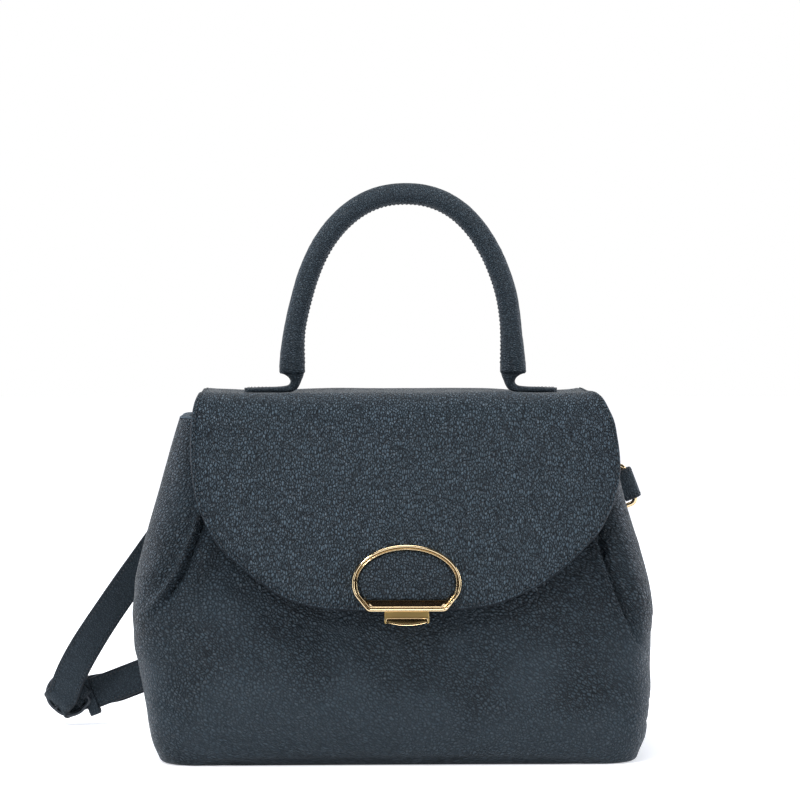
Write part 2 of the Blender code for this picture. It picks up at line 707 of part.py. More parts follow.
def make_handle():
    """Stitched tube over a cord core, its two necks, and the tabs sewn on the flap."""
    axis_z = FLAP_TOP_Z + GAP + TAB_THICKNESS + GAP + NECK_RADIUS
    frame = bpy.data.objects.new("handle_axis", None)
    frame.location = (0.0, HANDLE_Y, axis_z)
    PARTS.objects.link(frame)
    rise = HANDLE_HEIGHT - HANDLE_RADIUS
    points = []
    radii = []
    for step in range(HANDLE_STEPS + 1):
        angle = math.pi * step / HANDLE_STEPS
        power = 2 / HANDLE_POWER
        x = -math.copysign(abs(math.cos(angle)) ** power, math.cos(angle)) * HANDLE_HALF_SPAN
        height = rise * math.sin(angle) ** power if 0 < step < HANDLE_STEPS else 0.0
        points.append(Vector((x, 0.0, HANDLE_END_Z + height - axis_z)))
        flare = max(1 - height / HANDLE_FLARE_LENGTH, 0.0)
        radii.append(1 + (HANDLE_FLARE / HANDLE_RADIUS - 1) * flare)
    cover = wire("handle_cover", points, HANDLE_RADIUS, leather("handle_cover"), radii=radii, sides=4,
                 frame=frame, caps=False)
    wall = cover.modifiers.new("wall", "SOLIDIFY")
    wall.thickness = HANDLE_WALL
    wall.offset = -1.0
    wall.use_even_offset = True
    core = HANDLE_RADIUS - HANDLE_WALL - 2 * GAP
    wire("handle_core", points[1:-1], core, material("handle_core", CLOTH, 0.9, 0.0), sides=3, frame=frame)
    tab_low = FLAP_TOP_Z + GAP
    tab_top = tab_low + TAB_THICKNESS
    neck_top = HANDLE_END_Z - GAP - axis_z
    for name, side, reach in (("left", -1, TAB_LEFT_REACH), ("right", 1, TAB_RIGHT_REACH)):
        inner = side * (HANDLE_HALF_SPAN - NECK_THICKNESS / 2)
        outer = side * (HANDLE_HALF_SPAN + reach - TAB_DEPTH / 2)
        tab = [(inner, HANDLE_Y - TAB_DEPTH / 2), (inner, HANDLE_Y + TAB_DEPTH / 2)]
        for step in range(NECK_STEPS + 1):
            angle = math.pi / 2 - math.pi * step / NECK_STEPS
            x = outer + side * TAB_DEPTH / 2 * math.cos(angle)
            tab.append((x, HANDLE_Y + TAB_DEPTH / 2 * math.sin(angle)))
        rings = [[Vector((x, y, z)) for x, y in tab] for z in (tab_low, tab_top)]
        loft("handle_tab_" + name, rings, leather("handle_tab_" + name))
        start = math.asin(-neck_top / NECK_RADIUS)
        edge = []
        for step in range(NECK_STEPS + 1):
            angle = math.pi + start + (math.pi - 2 * start) * step / NECK_STEPS
            edge.append((NECK_RADIUS * math.cos(angle), NECK_RADIUS * math.sin(angle)))
        middle = side * HANDLE_HALF_SPAN
        rings = [[Vector((x, y, z)) for y, z in edge]
                 for x in (middle - NECK_THICKNESS / 2, middle + NECK_THICKNESS / 2)]
        loft("handle_neck_" + name, rings, leather("handle_neck_" + name), frame=frame)


def ribbon(name, stations, width, thickness, finish, **options):
    """A flat band through stations of a centre and a width direction."""
    rings = []
    last = len(stations) - 1
    for place, (centre, across) in enumerate(stations):
        along = stations[min(place + 1, last)][0] - stations[max(place - 1, 0)][0]
        across = across.normalized()
        normal = along.cross(across).normalized()
        half = across * width / 2
        rise = normal * thickness / 2
        rings.append([centre - half - rise, centre + half - rise, centre + half + rise, centre - half + rise])
    return loft(name, rings, finish, **options)


def ring_seat(x, z, angle, leaves_out):
    """A ring's bar: its centre clear of the wall, the way the ring points, and the bar's direction."""
    pointing = Vector((math.cos(angle), 0.0, math.sin(angle)))
    bar = Vector((-math.sin(angle), 0.0, math.cos(angle)))
    centre = Vector((x, 0.0, z))
    tab_lift = GAP + RING_TAB_LEATHER + GAP + RING_WIRE
    loop_lift = GAP + RING_WIRE + GAP + STRAP_THICKNESS
    loop_reach = RING_LENGTH + LOOP_LEFT_TAB if leaves_out else RING_LENGTH
    centre.y = max(wall_reach(centre, pointing, bar, 0.0) + tab_lift,
                   wall_reach(centre, pointing, bar, -RING_TAB_CLOSE) + tab_lift,
                   wall_reach(centre, pointing, bar, RING_LENGTH) + loop_lift,
                   wall_reach(centre, pointing, bar, loop_reach) + loop_lift)
    return centre, pointing, bar


def wall_reach(centre, pointing, bar, along):
    """The furthest back that the wall comes across a strap's width, at a place along a ring."""
    reach = 0.0
    for share in (-1.0, -0.5, 0.0, 0.5, 1.0):
        spot = centre + pointing * along + bar * (STRAP_WIDTH / 2 + RING_WIRE) * share
        if abs(spot.x) < half_width(spot.z):
            reach = max(reach, wall_y(spot.x, spot.z))
    return reach


def ring_points(pointing, bar, spans, half, corners):
    """A rounded ring between two spans along its direction, with a corner radius at each end."""
    points = []
    for number in range(4):
        far = number in (1, 2)
        along = spans[1] if far else spans[0]
        radius = corners[1] if far else corners[0]
        side = -1 if number < 2 else 1
        centre_along = along - radius if far else along + radius
        centre_across = side * (half - radius)
        for step in range(RING_CORNER_STEPS + 1):
            angle = math.pi + math.pi / 2 * (number + step / RING_CORNER_STEPS)
            points.append(pointing * (centre_along + radius * math.cos(angle))
                          + bar * (centre_across + radius * math.sin(angle)))
    return points


def make_ring(name, place):
    """Square ring on its axis, and the leather tab that holds its bar."""
    origin, pointing, bar = place
    outward = Vector((0.0, 1.0, 0.0))
    frame = bpy.data.objects.new("ring_axis_" + name, None)
    frame.location = origin
    PARTS.objects.link(frame)
    points = ring_points(pointing, bar, (0.0, RING_LENGTH), RING_INNER_WIDTH / 2 + RING_WIRE,
                         (RING_CORNER, RING_CORNER))
    wire("ring_" + name, points, RING_WIRE, gold("ring_" + name), cyclic=True, sides=2, frame=frame)
    wrap = RING_WIRE + GAP + RING_TAB_LEATHER / 2
    root = origin - pointing * RING_TAB_LENGTH
    root.y = wall_reach(root, pointing, bar, 0.0) + GAP + RING_TAB_LEATHER / 2
    sewn = outward * (RING_TAB_LEATHER + GAP)
    stations = [(root, bar)]
    for step in range(TURN_STEPS + 1):
        angle = -math.pi / 2 + math.pi * step / TURN_STEPS
        stations.append((origin + pointing * wrap * math.cos(angle) + outward * wrap * math.sin(angle), bar))
    middle = origin - outward * wrap
    closing = middle.lerp(root, RING_TAB_CLOSE / RING_TAB_LENGTH)
    stations.append((closing + sewn + outward * GAP / 4, bar))
    stations.append((root + sewn, bar))
    ribbon("ring_tab_" + name, stations, STRAP_WIDTH, RING_TAB_LEATHER, leather("ring_tab_" + name))
    return frame


def make_loop(name, place, frame, tab, length, leaves_out):
    """The strap's folded end round the ring's far side, with the lengths of its inner and outer legs.

    Returns where the strap carries on, clear of the loop as it swings.
    """
    origin, pointing, bar = place
    outward = Vector((0.0, 1.0, 0.0))
    turn = RING_WIRE + GAP + STRAP_THICKNESS / 2
    far = RING_LENGTH
    way = 1.0 if leaves_out else -1.0
    stations = [(pointing * (far + way * tab) - outward * turn, bar)]
    for step in range(TURN_STEPS + 1):
        angle = -math.pi / 2 - way * math.pi * step / TURN_STEPS
        stations.append((pointing * (far + turn * math.cos(angle)) + outward * turn * math.sin(angle), bar))
    end = far + way * length
    stations.append((pointing * end + outward * turn, bar))
    finish = leather("strap_loop_" + name)
    ribbon("strap_loop_" + name, stations, STRAP_WIDTH, STRAP_THICKNESS, finish, frame=frame)
    return origin + pointing * (end + way * LOOP_SWING_GAP) + outward * turn


def across_of(way, guide):
    """The width direction of a band that runs one way in the upright plane, on a guide's side."""
    across = Vector((-way.z, 0.0, way.x)).normalized()
    return across if across.dot(guide) > 0 else -across


def make_strap(right, left_end, right_end):
    """Long strap, short strap, buckle with its prong, and keeper."""
    outward = Vector((0.0, 1.0, 0.0))
    down_right = Vector((1.0, 0.0, -1.0))
    fold = Vector((FOLD_X, FOLD_Y, FOLD_Z))
    over_tab = (right[0] + right[1] * (RING_WIRE + GAP + RING_TAB_LEATHER + LOOSE_GAP)
                + outward * (RING_WIRE + GAP + RING_TAB_LEATHER + LOOSE_GAP + STRAP_THICKNESS / 2))
    short_layer = BUCKLE_WIRE + GAP + STRAP_THICKNESS / 2
    fold_radius = short_layer + STRAP_THICKNESS + GAP
    lower_from = fold + outward * short_layer
    run = over_tab - lower_from
    lower_across = across_of(run, down_right)
    knee = Vector((KNEE_X, 0.0, KNEE_Z))
    knee.y = fold.y - fold_radius - (fold.y - fold_radius - left_end.y) * KNEE_SHARE
    front = fold - outward * fold_radius
    end_across = across_of(front - knee, down_right)
    fold_line = (end_across + lower_across).normalized()
    beyond = Vector((fold_line.z, 0.0, -fold_line.x))
    stations = []
    for step in range(RUN_STEPS):
        share = step / RUN_STEPS
        centre = left_end.lerp(knee, share).lerp(knee.lerp(front, share), share)
        way = left_end.lerp(knee, share) - knee.lerp(front, share)
        stations.append((centre, across_of(way, down_right)))
    for step in range(FOLD_STEPS + 1):
        angle = math.pi * step / FOLD_STEPS
        centre = fold - outward * fold_radius * math.cos(angle) + beyond * fold_radius * math.sin(angle)
        stations.append((centre, fold_line))

    def lower_run(distance):
        share = distance / run.length
        return lower_from + run * share + outward * LOWER_BOW * math.sin(math.pi * share)

    behind = outward * (fold_radius - short_layer)
    for distance in rows(RUN_FROM, TAIL_LENGTH, RUN_STEPS):
        stations.append((lower_run(distance) + behind, lower_across))
    long_strap = ribbon("strap_long", stations, STRAP_WIDTH, STRAP_THICKNESS, leather("strap_long"))
    bar = fold - beyond * BUCKLE_IN
    stations = [(bar - beyond * SHORT_TAB - outward * short_layer, fold_line)]
    for step in range(TURN_STEPS + 1):
        angle = math.pi * step / TURN_STEPS
        centre = bar - outward * short_layer * math.cos(angle) + beyond * short_layer * math.sin(angle)
        stations.append((centre, fold_line))
    for distance in rows(RUN_FROM, run.length - STRAP_WIDTH, RUN_STEPS):
        stations.append((lower_run(distance), lower_across))
    stations.append((over_tab, right[2] * -1))
    stations.append((right_end, right[2] * -1))
    ribbon("strap_short", stations, STRAP_WIDTH, STRAP_THICKNESS, leather("strap_short"))
    points = ring_points(beyond, fold_line, (-BUCKLE_IN, BUCKLE_OUT), BUCKLE_WIDTH / 2 + BUCKLE_WIRE,
                         (BUCKLE_INNER_CORNER, BUCKLE_CORNER))
    wire("strap_buckle", [fold + point for point in points], BUCKLE_WIRE,
         material("strap_buckle", DARK, 0.35, 0.6), cyclic=True, sides=2)
    wrap_face = BUCKLE_IN - short_layer - STRAP_THICKNESS / 2
    prong_from = fold - beyond * (wrap_face - GAP - PRONG_RADIUS)
    prong_to = fold + beyond * BUCKLE_OUT - outward * (BUCKLE_WIRE + GAP + PRONG_RADIUS)
    rod("buckle_prong", prong_from, prong_to, PRONG_RADIUS, material("buckle_prong", DARK, 0.35, 0.6), sides=12)
    hole = rod("prong_hole", prong_from, prong_to, PRONG_HOLE, None, sides=12, cutter=True)
    cut(long_strap, hole)
    along = (lower_run(KEEPER_PLACE + KEEPER_WIDTH) - lower_run(KEEPER_PLACE)).normalized()
    make_keeper(lower_run(KEEPER_PLACE), along, lower_across, behind)


def make_keeper(centre, along, across, behind):
    """A leather band round the two layers of the lower run."""
    normal = Vector((0.0, 1.0, 0.0))
    normal = (normal - along * normal.dot(along)).normalized()
    low = STRAP_THICKNESS / 2 + GAP
    high = behind.length + STRAP_THICKNESS / 2 + GAP
    half = STRAP_WIDTH / 2 + GAP
    rings = []
    for grow, place in ((0.0, -1), (KEEPER_THICKNESS, -1), (KEEPER_THICKNESS, 1), (0.0, 1)):
        middle = centre + along * KEEPER_WIDTH / 2 * place
        rings.append([middle - across * (half + grow) - normal * (low + grow),
                      middle + across * (half + grow) - normal * (low + grow),
                      middle + across * (half + grow) + normal * (high + grow),
                      middle - across * (half + grow) + normal * (high + grow)])
    loft("strap_keeper", rings, leather("strap_keeper"), wrap=True, smooth=False)


panels = make_body()
place, slope = lock_frame()
back_plate = make_clasp(place)
make_slider(place)
make_catch(place, panels[0])
make_flap(place, slope, back_plate)
make_handle()
left_seat = ring_seat(RING_LEFT_X, BODY_HEIGHT - RING_LEFT_DROP, RING_LEFT_ANGLE, True)
right_seat = ring_seat(RING_RIGHT_X, BODY_HEIGHT - RING_RIGHT_DROP, RING_RIGHT_ANGLE, False)
left_frame = make_ring("left", left_seat)
right_frame = make_ring("right", right_seat)
left_end = make_loop("left", left_seat, left_frame, LOOP_LEFT_TAB, LOOP_LEFT_LENGTH, True)
right_end = make_loop("right", right_seat, right_frame, LOOP_RIGHT_TAB, LOOP_RIGHT_LENGTH, False)
make_strap(right_seat, left_end, right_end)
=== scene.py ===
import json
import math

import bmesh
import bpy
import numpy as np
from mathutils import Matrix, Vector, geometry, noise


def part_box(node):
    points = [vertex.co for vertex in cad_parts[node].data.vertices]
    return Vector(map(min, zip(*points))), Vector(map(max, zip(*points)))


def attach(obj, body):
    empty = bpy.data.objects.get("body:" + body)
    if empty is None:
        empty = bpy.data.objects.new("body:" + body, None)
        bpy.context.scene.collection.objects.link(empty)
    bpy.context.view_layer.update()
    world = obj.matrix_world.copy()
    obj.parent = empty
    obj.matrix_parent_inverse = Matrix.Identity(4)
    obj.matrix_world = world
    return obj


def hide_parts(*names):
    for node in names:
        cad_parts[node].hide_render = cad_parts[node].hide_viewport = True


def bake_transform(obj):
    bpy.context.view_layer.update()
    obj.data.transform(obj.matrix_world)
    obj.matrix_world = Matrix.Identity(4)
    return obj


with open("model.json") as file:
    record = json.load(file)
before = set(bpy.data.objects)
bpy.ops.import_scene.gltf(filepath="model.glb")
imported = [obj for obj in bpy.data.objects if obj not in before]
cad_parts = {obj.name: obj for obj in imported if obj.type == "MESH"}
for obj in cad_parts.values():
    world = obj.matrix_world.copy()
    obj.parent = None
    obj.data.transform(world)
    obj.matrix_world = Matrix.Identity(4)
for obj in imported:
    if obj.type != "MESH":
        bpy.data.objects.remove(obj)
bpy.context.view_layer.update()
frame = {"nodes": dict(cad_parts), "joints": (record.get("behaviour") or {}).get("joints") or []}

# Sizes shared with the model of the solids
BODY_HEIGHT = 0.194
BODY_HALF_WIDTH = 0.150
BODY_HALF_DEPTH = 0.070
# Shares of the body's height against how square its corners are, its half width and its half depth
CORNER_POWERS = ((0.0, 8.0), (0.10, 7.0), (0.30, 5.0), (0.60, 5.1), (1.0, 5.6))
WIDTH_SHARES = ((0.0, 0.900), (0.0387, 0.914), (0.074, 0.931), (0.144, 0.9506), (0.2165, 0.9661),
                (0.278, 0.9741), (0.325, 0.9840), (0.396, 0.9870), (0.433, 0.9870), (0.504, 0.9755),
                (0.53, 0.970), (0.60, 0.949), (0.624, 0.942), (0.68, 0.923), (0.722, 0.907), (0.83, 0.865),
                (1.0, 0.800))
DEPTH_SHARES = ((0.0, 0.945), (0.035, 0.980), (0.12, 1.0), (0.25, 0.990), (0.43, 0.930),
                (0.60, 0.850), (0.80, 0.745), (1.0, 0.640))
# The bag leans a little to its left: height against how far its middle lies to the right
LEAN_ASIDE = ((0.0, -0.0034), (0.0075, -0.0036), (0.0144, -0.0034), (0.028, -0.0038), (0.042, -0.0045),
              (0.054, -0.0053), (0.063, -0.0062), (0.0768, -0.0068), (0.084, -0.0068), (0.0977, -0.0062),
              (0.121, -0.0069), (0.140, -0.0079), (0.160, -0.0077), (0.194, -0.0080))
LEATHER = 0.0013
MOUTH_Z = 0.1922
LOCK_Z = 0.089
LOCK_LEAN = 0.155087
FLAP_FACE = 0.0101
FLAP_TOP_Z = 0.2076
FLAP_LIP_Z = 0.0878
FLAP_FRONT_BEND = 0.024
FLAP_BACK_BEND = 0.0095
FLAP_BOW = 0.008
FLAP_BOW_HALF = 0.120
FLAP_BACK_Y = 0.0469
FLAP_LEATHER = 0.0015
HINGE_Z = 0.198
STRIP_BOTTOM_Z = 0.1845
# Front of the flap: height against how far its left and right edges reach
FLAP_LEFT = ((0.0878, 0.0220), (0.0881, 0.0306), (0.0891, 0.0465), (0.0928, 0.0623), (0.0989, 0.0750),
             (0.1062, 0.0856), (0.1134, 0.0941), (0.1196, 0.1016), (0.1290, 0.1085), (0.1395, 0.1139),
             (0.1468, 0.1166), (0.1563, 0.1186), (0.1668, 0.1199), (0.1774, 0.1203), (0.1881, 0.1200),
             (0.1966, 0.1192), (0.2030, 0.1180), (0.2076, 0.1162))
FLAP_RIGHT = ((0.0878, 0.0180), (0.0887, 0.0321), (0.0905, 0.0459), (0.0931, 0.0551), (0.0967, 0.0644),
              (0.1012, 0.0737), (0.1074, 0.0831), (0.1137, 0.0915), (0.1217, 0.1000), (0.1298, 0.1077),
              (0.1380, 0.1125), (0.1471, 0.1169), (0.1572, 0.1196), (0.1664, 0.1205), (0.1747, 0.1201),
              (0.1839, 0.1188), (0.1922, 0.1170), (0.1987, 0.1143), (0.2052, 0.1112), (0.2076, 0.1088))
FLAP_SEAM_HALF = 0.1083
HANDLE_Y = 0.002
HANDLE_RADIUS = 0.0062
HANDLE_FLARE = 0.0076
HANDLE_HALF_SPAN = 0.0645
HANDLE_TOP_Z = 0.327
HANDLE_END_Z = 0.2170
HANDLE_POWER = 2.2
TAB_DEPTH = 0.016
STRAP_WIDTH = 0.019
STRAP_THICKNESS = 0.0024
RING_WIRE = 0.0015
RING_LENGTH = 0.016
GAP = 0.0003

# Camera, from the photograph: 122 mm lens, 1.57 m away, a little above the bag and to its left
LENS = 122.0
DISTANCE = 1.567
CAMERA_HEIGHT = 0.256
AZIMUTH = math.radians(-1.7)
AIM = Vector((-0.0016, 0.0, 0.2017))

OUTWARD = Vector((0.0, 1.0, 0.0))
SIDES = (("left", -1), ("right", 1))

# The front of the foot stands clear of the floor between its corners
FOOT_LIFT = 0.0045
FOOT_LIFT_HALF = 0.128
FOOT_LIFT_MIDDLE = -0.0028
FOOT_LIFT_DEPTH = 0.0052
FOOT_LIFT_BLEND = 0.0042
FOOT_LIFT_RISE = 0.030
FOOT_RADIUS = 0.0022

# Fold lines of the front's pleats, as places across and up, from the mouth down
LEFT_PLEAT = ((-0.0985, 0.192), (-0.1060, 0.158), (-0.1130, 0.1344), (-0.1178, 0.1217), (-0.1231, 0.1080),
              (-0.1306, 0.0955), (-0.1370, 0.0882), (-0.1450, 0.0790))
RIGHT_PLEAT = ((0.096, 0.192), (0.103, 0.154), (0.108, 0.1216), (0.1135, 0.105), (0.1175, 0.0944),
               (0.1216, 0.0837), (0.1257, 0.0737), (0.131, 0.0648), (0.1385, 0.0585))


# Helpers

def read_shares(table, share):
    """Smooth reading of a share table, by Hermite spans."""
    share = min(max(share, table[0][0]), table[-1][0])
    for place in range(len(table) - 1):
        if share <= table[place + 1][0]:
            break
    (x0, y0), (x1, y1) = table[place], table[place + 1]
    before = table[max(place - 1, 0)]
    after = table[min(place + 2, len(table) - 1)]
    slope0 = (y1 - before[1]) / (x1 - before[0])
    slope1 = (after[1] - y0) / (after[0] - x0)
    t = (share - x0) / (x1 - x0)
    span = x1 - x0
    return ((2 * t**3 - 3 * t**2 + 1) * y0 + (t**3 - 2 * t**2 + t) * span * slope0
            + (3 * t**2 - 2 * t**3) * y1 + (t**3 - t**2) * span * slope1)


def smooth(value):
    """Smooth step from 0 to 1."""
    value = np.clip(value, 0.0, 1.0)
    return value * value * (3 - 2 * value)


def bump(distance, width):
    """A soft bump, 1 at no distance."""
    return np.exp(-(distance / width) ** 2)


def eased(value):
    """Smooth step of one number."""
    return float(smooth(value))


def step_between(value, rise):
    """Smooth step of one number, from where it rises and over how much."""
    return eased((value - rise[0]) / rise[1])


def full_turn(count):
    """Even angles round a full turn."""
    return math.tau * np.arange(count) / count


def rows_of(vectors):
    """Vectors as rows of numbers."""
    return np.array([tuple(vector) for vector in vectors])


def unit(vectors):
    return vectors / np.maximum(np.linalg.norm(vectors, axis=-1, keepdims=True), 1e-12)


def directions(points, closed=False):
    """Unit vectors along a chain of points."""
    if closed:
        return unit(np.roll(points, -1, axis=0) - np.roll(points, 1, axis=0))
    return unit(np.gradient(points, axis=0))


def new_object(name, mesh, finish):
    thing = bpy.data.objects.new(name, mesh)
    bpy.context.scene.collection.objects.link(thing)
    for one in finish if isinstance(finish, (list, tuple)) else [finish]:
        mesh.materials.append(one)
    mesh.shade_smooth()
    return thing


def edit(thing, change):
    """Change a piece's mesh by a function of its open shape."""
    shape = bmesh.new()
    shape.from_mesh(thing.data)
    change(shape)
    shape.to_mesh(thing.data)
    shape.free()
    thing.data.shade_smooth()


def set_grain(mesh, corner_values):
    """Store where each face corner lies on the hide, in metres, for the leather's pattern."""
    layer = mesh.attributes.new("grain", "FLOAT_VECTOR", "CORNER")
    flat = np.zeros((len(mesh.loops), 3), np.float32)
    flat[:, :corner_values.shape[1]] = corner_values
    layer.data.foreach_set("vector", flat.ravel())


def grid(name, points, grain, finish, closed=False, caps=False):
    """A surface through rows of points. The grain holds one more column than a closed grid's points."""
    rows, columns = points.shape[:2]
    spans = columns if closed else columns - 1
    row, column = np.meshgrid(np.arange(rows - 1), np.arange(spans), indexing="ij")
    after = (column + 1) % columns
    corners = [(row, column, column), (row, after, column + 1), (row + 1, after, column + 1),
               (row + 1, column, column)]
    faces = np.stack([r * columns + c for r, c, _ in corners], axis=-1).reshape(-1, 4)
    places = np.stack([grain[r, g] for r, _, g in corners], axis=-2).reshape(-1, grain.shape[2])
    face_list = [tuple(face) for face in faces.tolist()]
    if caps:
        last = (rows - 1) * columns
        face_list += [tuple(reversed(range(columns))), tuple(range(last, last + columns))]
        places = np.vstack([places, grain[0, :columns][::-1], grain[-1, :columns]])
    mesh = bpy.data.meshes.new(name)
    mesh.from_pydata(points.reshape(-1, 3).tolist(), [], face_list)
    set_grain(mesh, places)
    return new_object(name, mesh, finish)


def thicken(thing, thickness):
    """Give a sheet its thickness, away from its outer face, with its rim in the second finish."""
    step = thing.modifiers.new("thickness", "SOLIDIFY")
    step.thickness = thickness
    step.offset = -1.0
    step.use_even_offset = False
    step.use_rim = True
    step.material_offset_rim = 1
    bpy.context.view_layer.update()
    final = bpy.data.meshes.new_from_object(thing.evaluated_get(bpy.context.evaluated_depsgraph_get()))
    thing.modifiers.clear()
    thing.data = final


def lengths_along(points):
    """Running length along a chain of points, from 0."""
    steps = np.linalg.norm(np.diff(points, axis=0), axis=1)
    return np.concatenate([[0.0], np.cumsum(steps)])


def read_rows(places, running, rows):
    """Rows of numbers read at places between their running lengths."""
    return np.stack([np.interp(places, running, column) for column in rows.T], axis=1)


def resample(points, places):
    """Points read at running lengths along a chain."""
    return read_rows(places, lengths_along(points), points)


def ride(thing, body, slot, *nodes):
    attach(thing, body)
    if nodes:
        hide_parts(*nodes)
    return thing


# Materials

class Nodes:
    """Short calls for a tree of nodes."""

    def __init__(self, tree):
        self.tree = tree

    def join(self, value, socket):
        """Link an output to a socket, or set the socket's own value."""
        if isinstance(value, bpy.types.NodeSocket):
            self.tree.links.new(value, socket)
        else:
            socket.default_value = value

    def node(self, kind, values=(), **settings):
        """A new node's outputs."""
        made = self.tree.nodes.new(kind)
        for key, value in settings.items():
            setattr(made, key, value)
        for key, value in dict(values).items():
            self.join(value, made.inputs[key])
        return made.outputs

    def maths(self, operation, *values):
        return self.node("ShaderNodeMath", dict(enumerate(values)), operation=operation)[0]

    def span(self, value, low, high, to_low, to_high):
        """A value carried from one range to another."""
        values = {"Value": value, "From Min": low, "From Max": high, "To Min": to_low, "To Max": to_high}
        return self.node("ShaderNodeMapRange", values)[0]

    def blend(self, factor, first, second):
        return self.node("ShaderNodeMix", {0: factor, 6: first, 7: second}, data_type="RGBA")[2]

    def noise(self, place, scale, detail, roughness=0.5, output="Fac"):
        values = {"Vector": place, "Scale": scale, "Detail": detail, "Roughness": roughness}
        return self.node("ShaderNodeTexNoise", values)[output]

    def wave(self, place, scale, distortion, direction):
        values = {"Vector": place, "Scale": scale, "Distortion": distortion}
        return self.node("ShaderNodeTexWave", values, bands_direction=direction)["Fac"]

    def relief(self, strength, depth, height):
        return self.node("ShaderNodeBump", {"Strength": strength, "Distance": depth, "Height": height})[0]

    def object_place(self):
        return self.node("ShaderNodeTexCoord")["Object"]

    def hide_place(self):
        """Where a point lies on its hide or cloth, from the grain stored in its mesh."""
        return self.node("ShaderNodeAttribute", attribute_name="grain")["Vector"]


class Shader(Nodes):
    """A Principled material."""

    def __init__(self, name):
        self.material = bpy.data.materials.new(name)
        self.material.use_nodes = True
        super().__init__(self.material.node_tree)
        self.out = self.tree.nodes["Principled BSDF"]

    def set(self, **values):
        """Set or link the material's own sockets, whose names have spaces for the underscores."""
        for key, value in values.items():
            self.join(value, self.out.inputs[key.replace("_", " ")])


def tinted(colour, factor):
    """A colour made darker or lighter."""
    return tuple(factor * part for part in colour[:3]) + (1.0,)


NAVY_DEEP = (0.0055, 0.0085, 0.0125, 1.0)
NAVY_LOW = (0.0320, 0.0495, 0.0660, 1.0)
NAVY_HIGH = (0.0800, 0.1130, 0.1430, 1.0)
# Painted shade for the creases between the pebbles
NAVY_CREASE_SHADE = (0.0018, 0.0038, 0.0068, 1.0)
# The thread is made far darker than the leather, as painted shade standing in for the shade in its stitch
# holes
THREAD_DARK = (0.006, 0.010, 0.015, 1.0)
THREAD_LIGHT = (0.018, 0.026, 0.035, 1.0)

# How the hide's cells wander, as a noise scale per metre and a reach in metres, and how uneven they are
DRIFT_SCALE = 90.0
DRIFT_REACH = (0.0005, 0.0005, 0.0)
CELL_RANDOMNESS = 0.88
# Rise of a pebble from its crease, as a share of its cell, and how much pebbles differ in height
PEBBLE_RISE = 0.34
PEBBLE_POWER = 0.6
PEBBLE_OWN = 0.30
PORE_SCALE = 2400.0
PORE_HEIGHT = 0.07
# Smooth stretched patches lie low on the bag and where a broad noise is low
PATCH_SCALE = 20.0
PATCH_LEVELS = (0.015, 0.115)
PATCH_LEAN = 0.16
PATCH_EDGES = (0.36, 0.62)
# Painted shade laid flat over the smooth patches, in place of the shade of their missing creases
PATCH_PAINTED_SHADE = 0.26
# Tints between the low and the high navy, and the reach of the painted shade in the creases into each cell
CLOUD_SCALE = 75.0
CLOUD_EDGES = (0.35, 0.70)
CLOUD_TINT = 0.10
TINT_BASE = 0.40
TINT_SPREAD = 0.16
CREASE_SHADE_REACH = 0.72
ROUGH_OWN = 0.06
ROUGH_CREASE = 0.26
LEATHER_SPECULAR = 0.17
NOISE_EDGES = (0.3, 0.7)


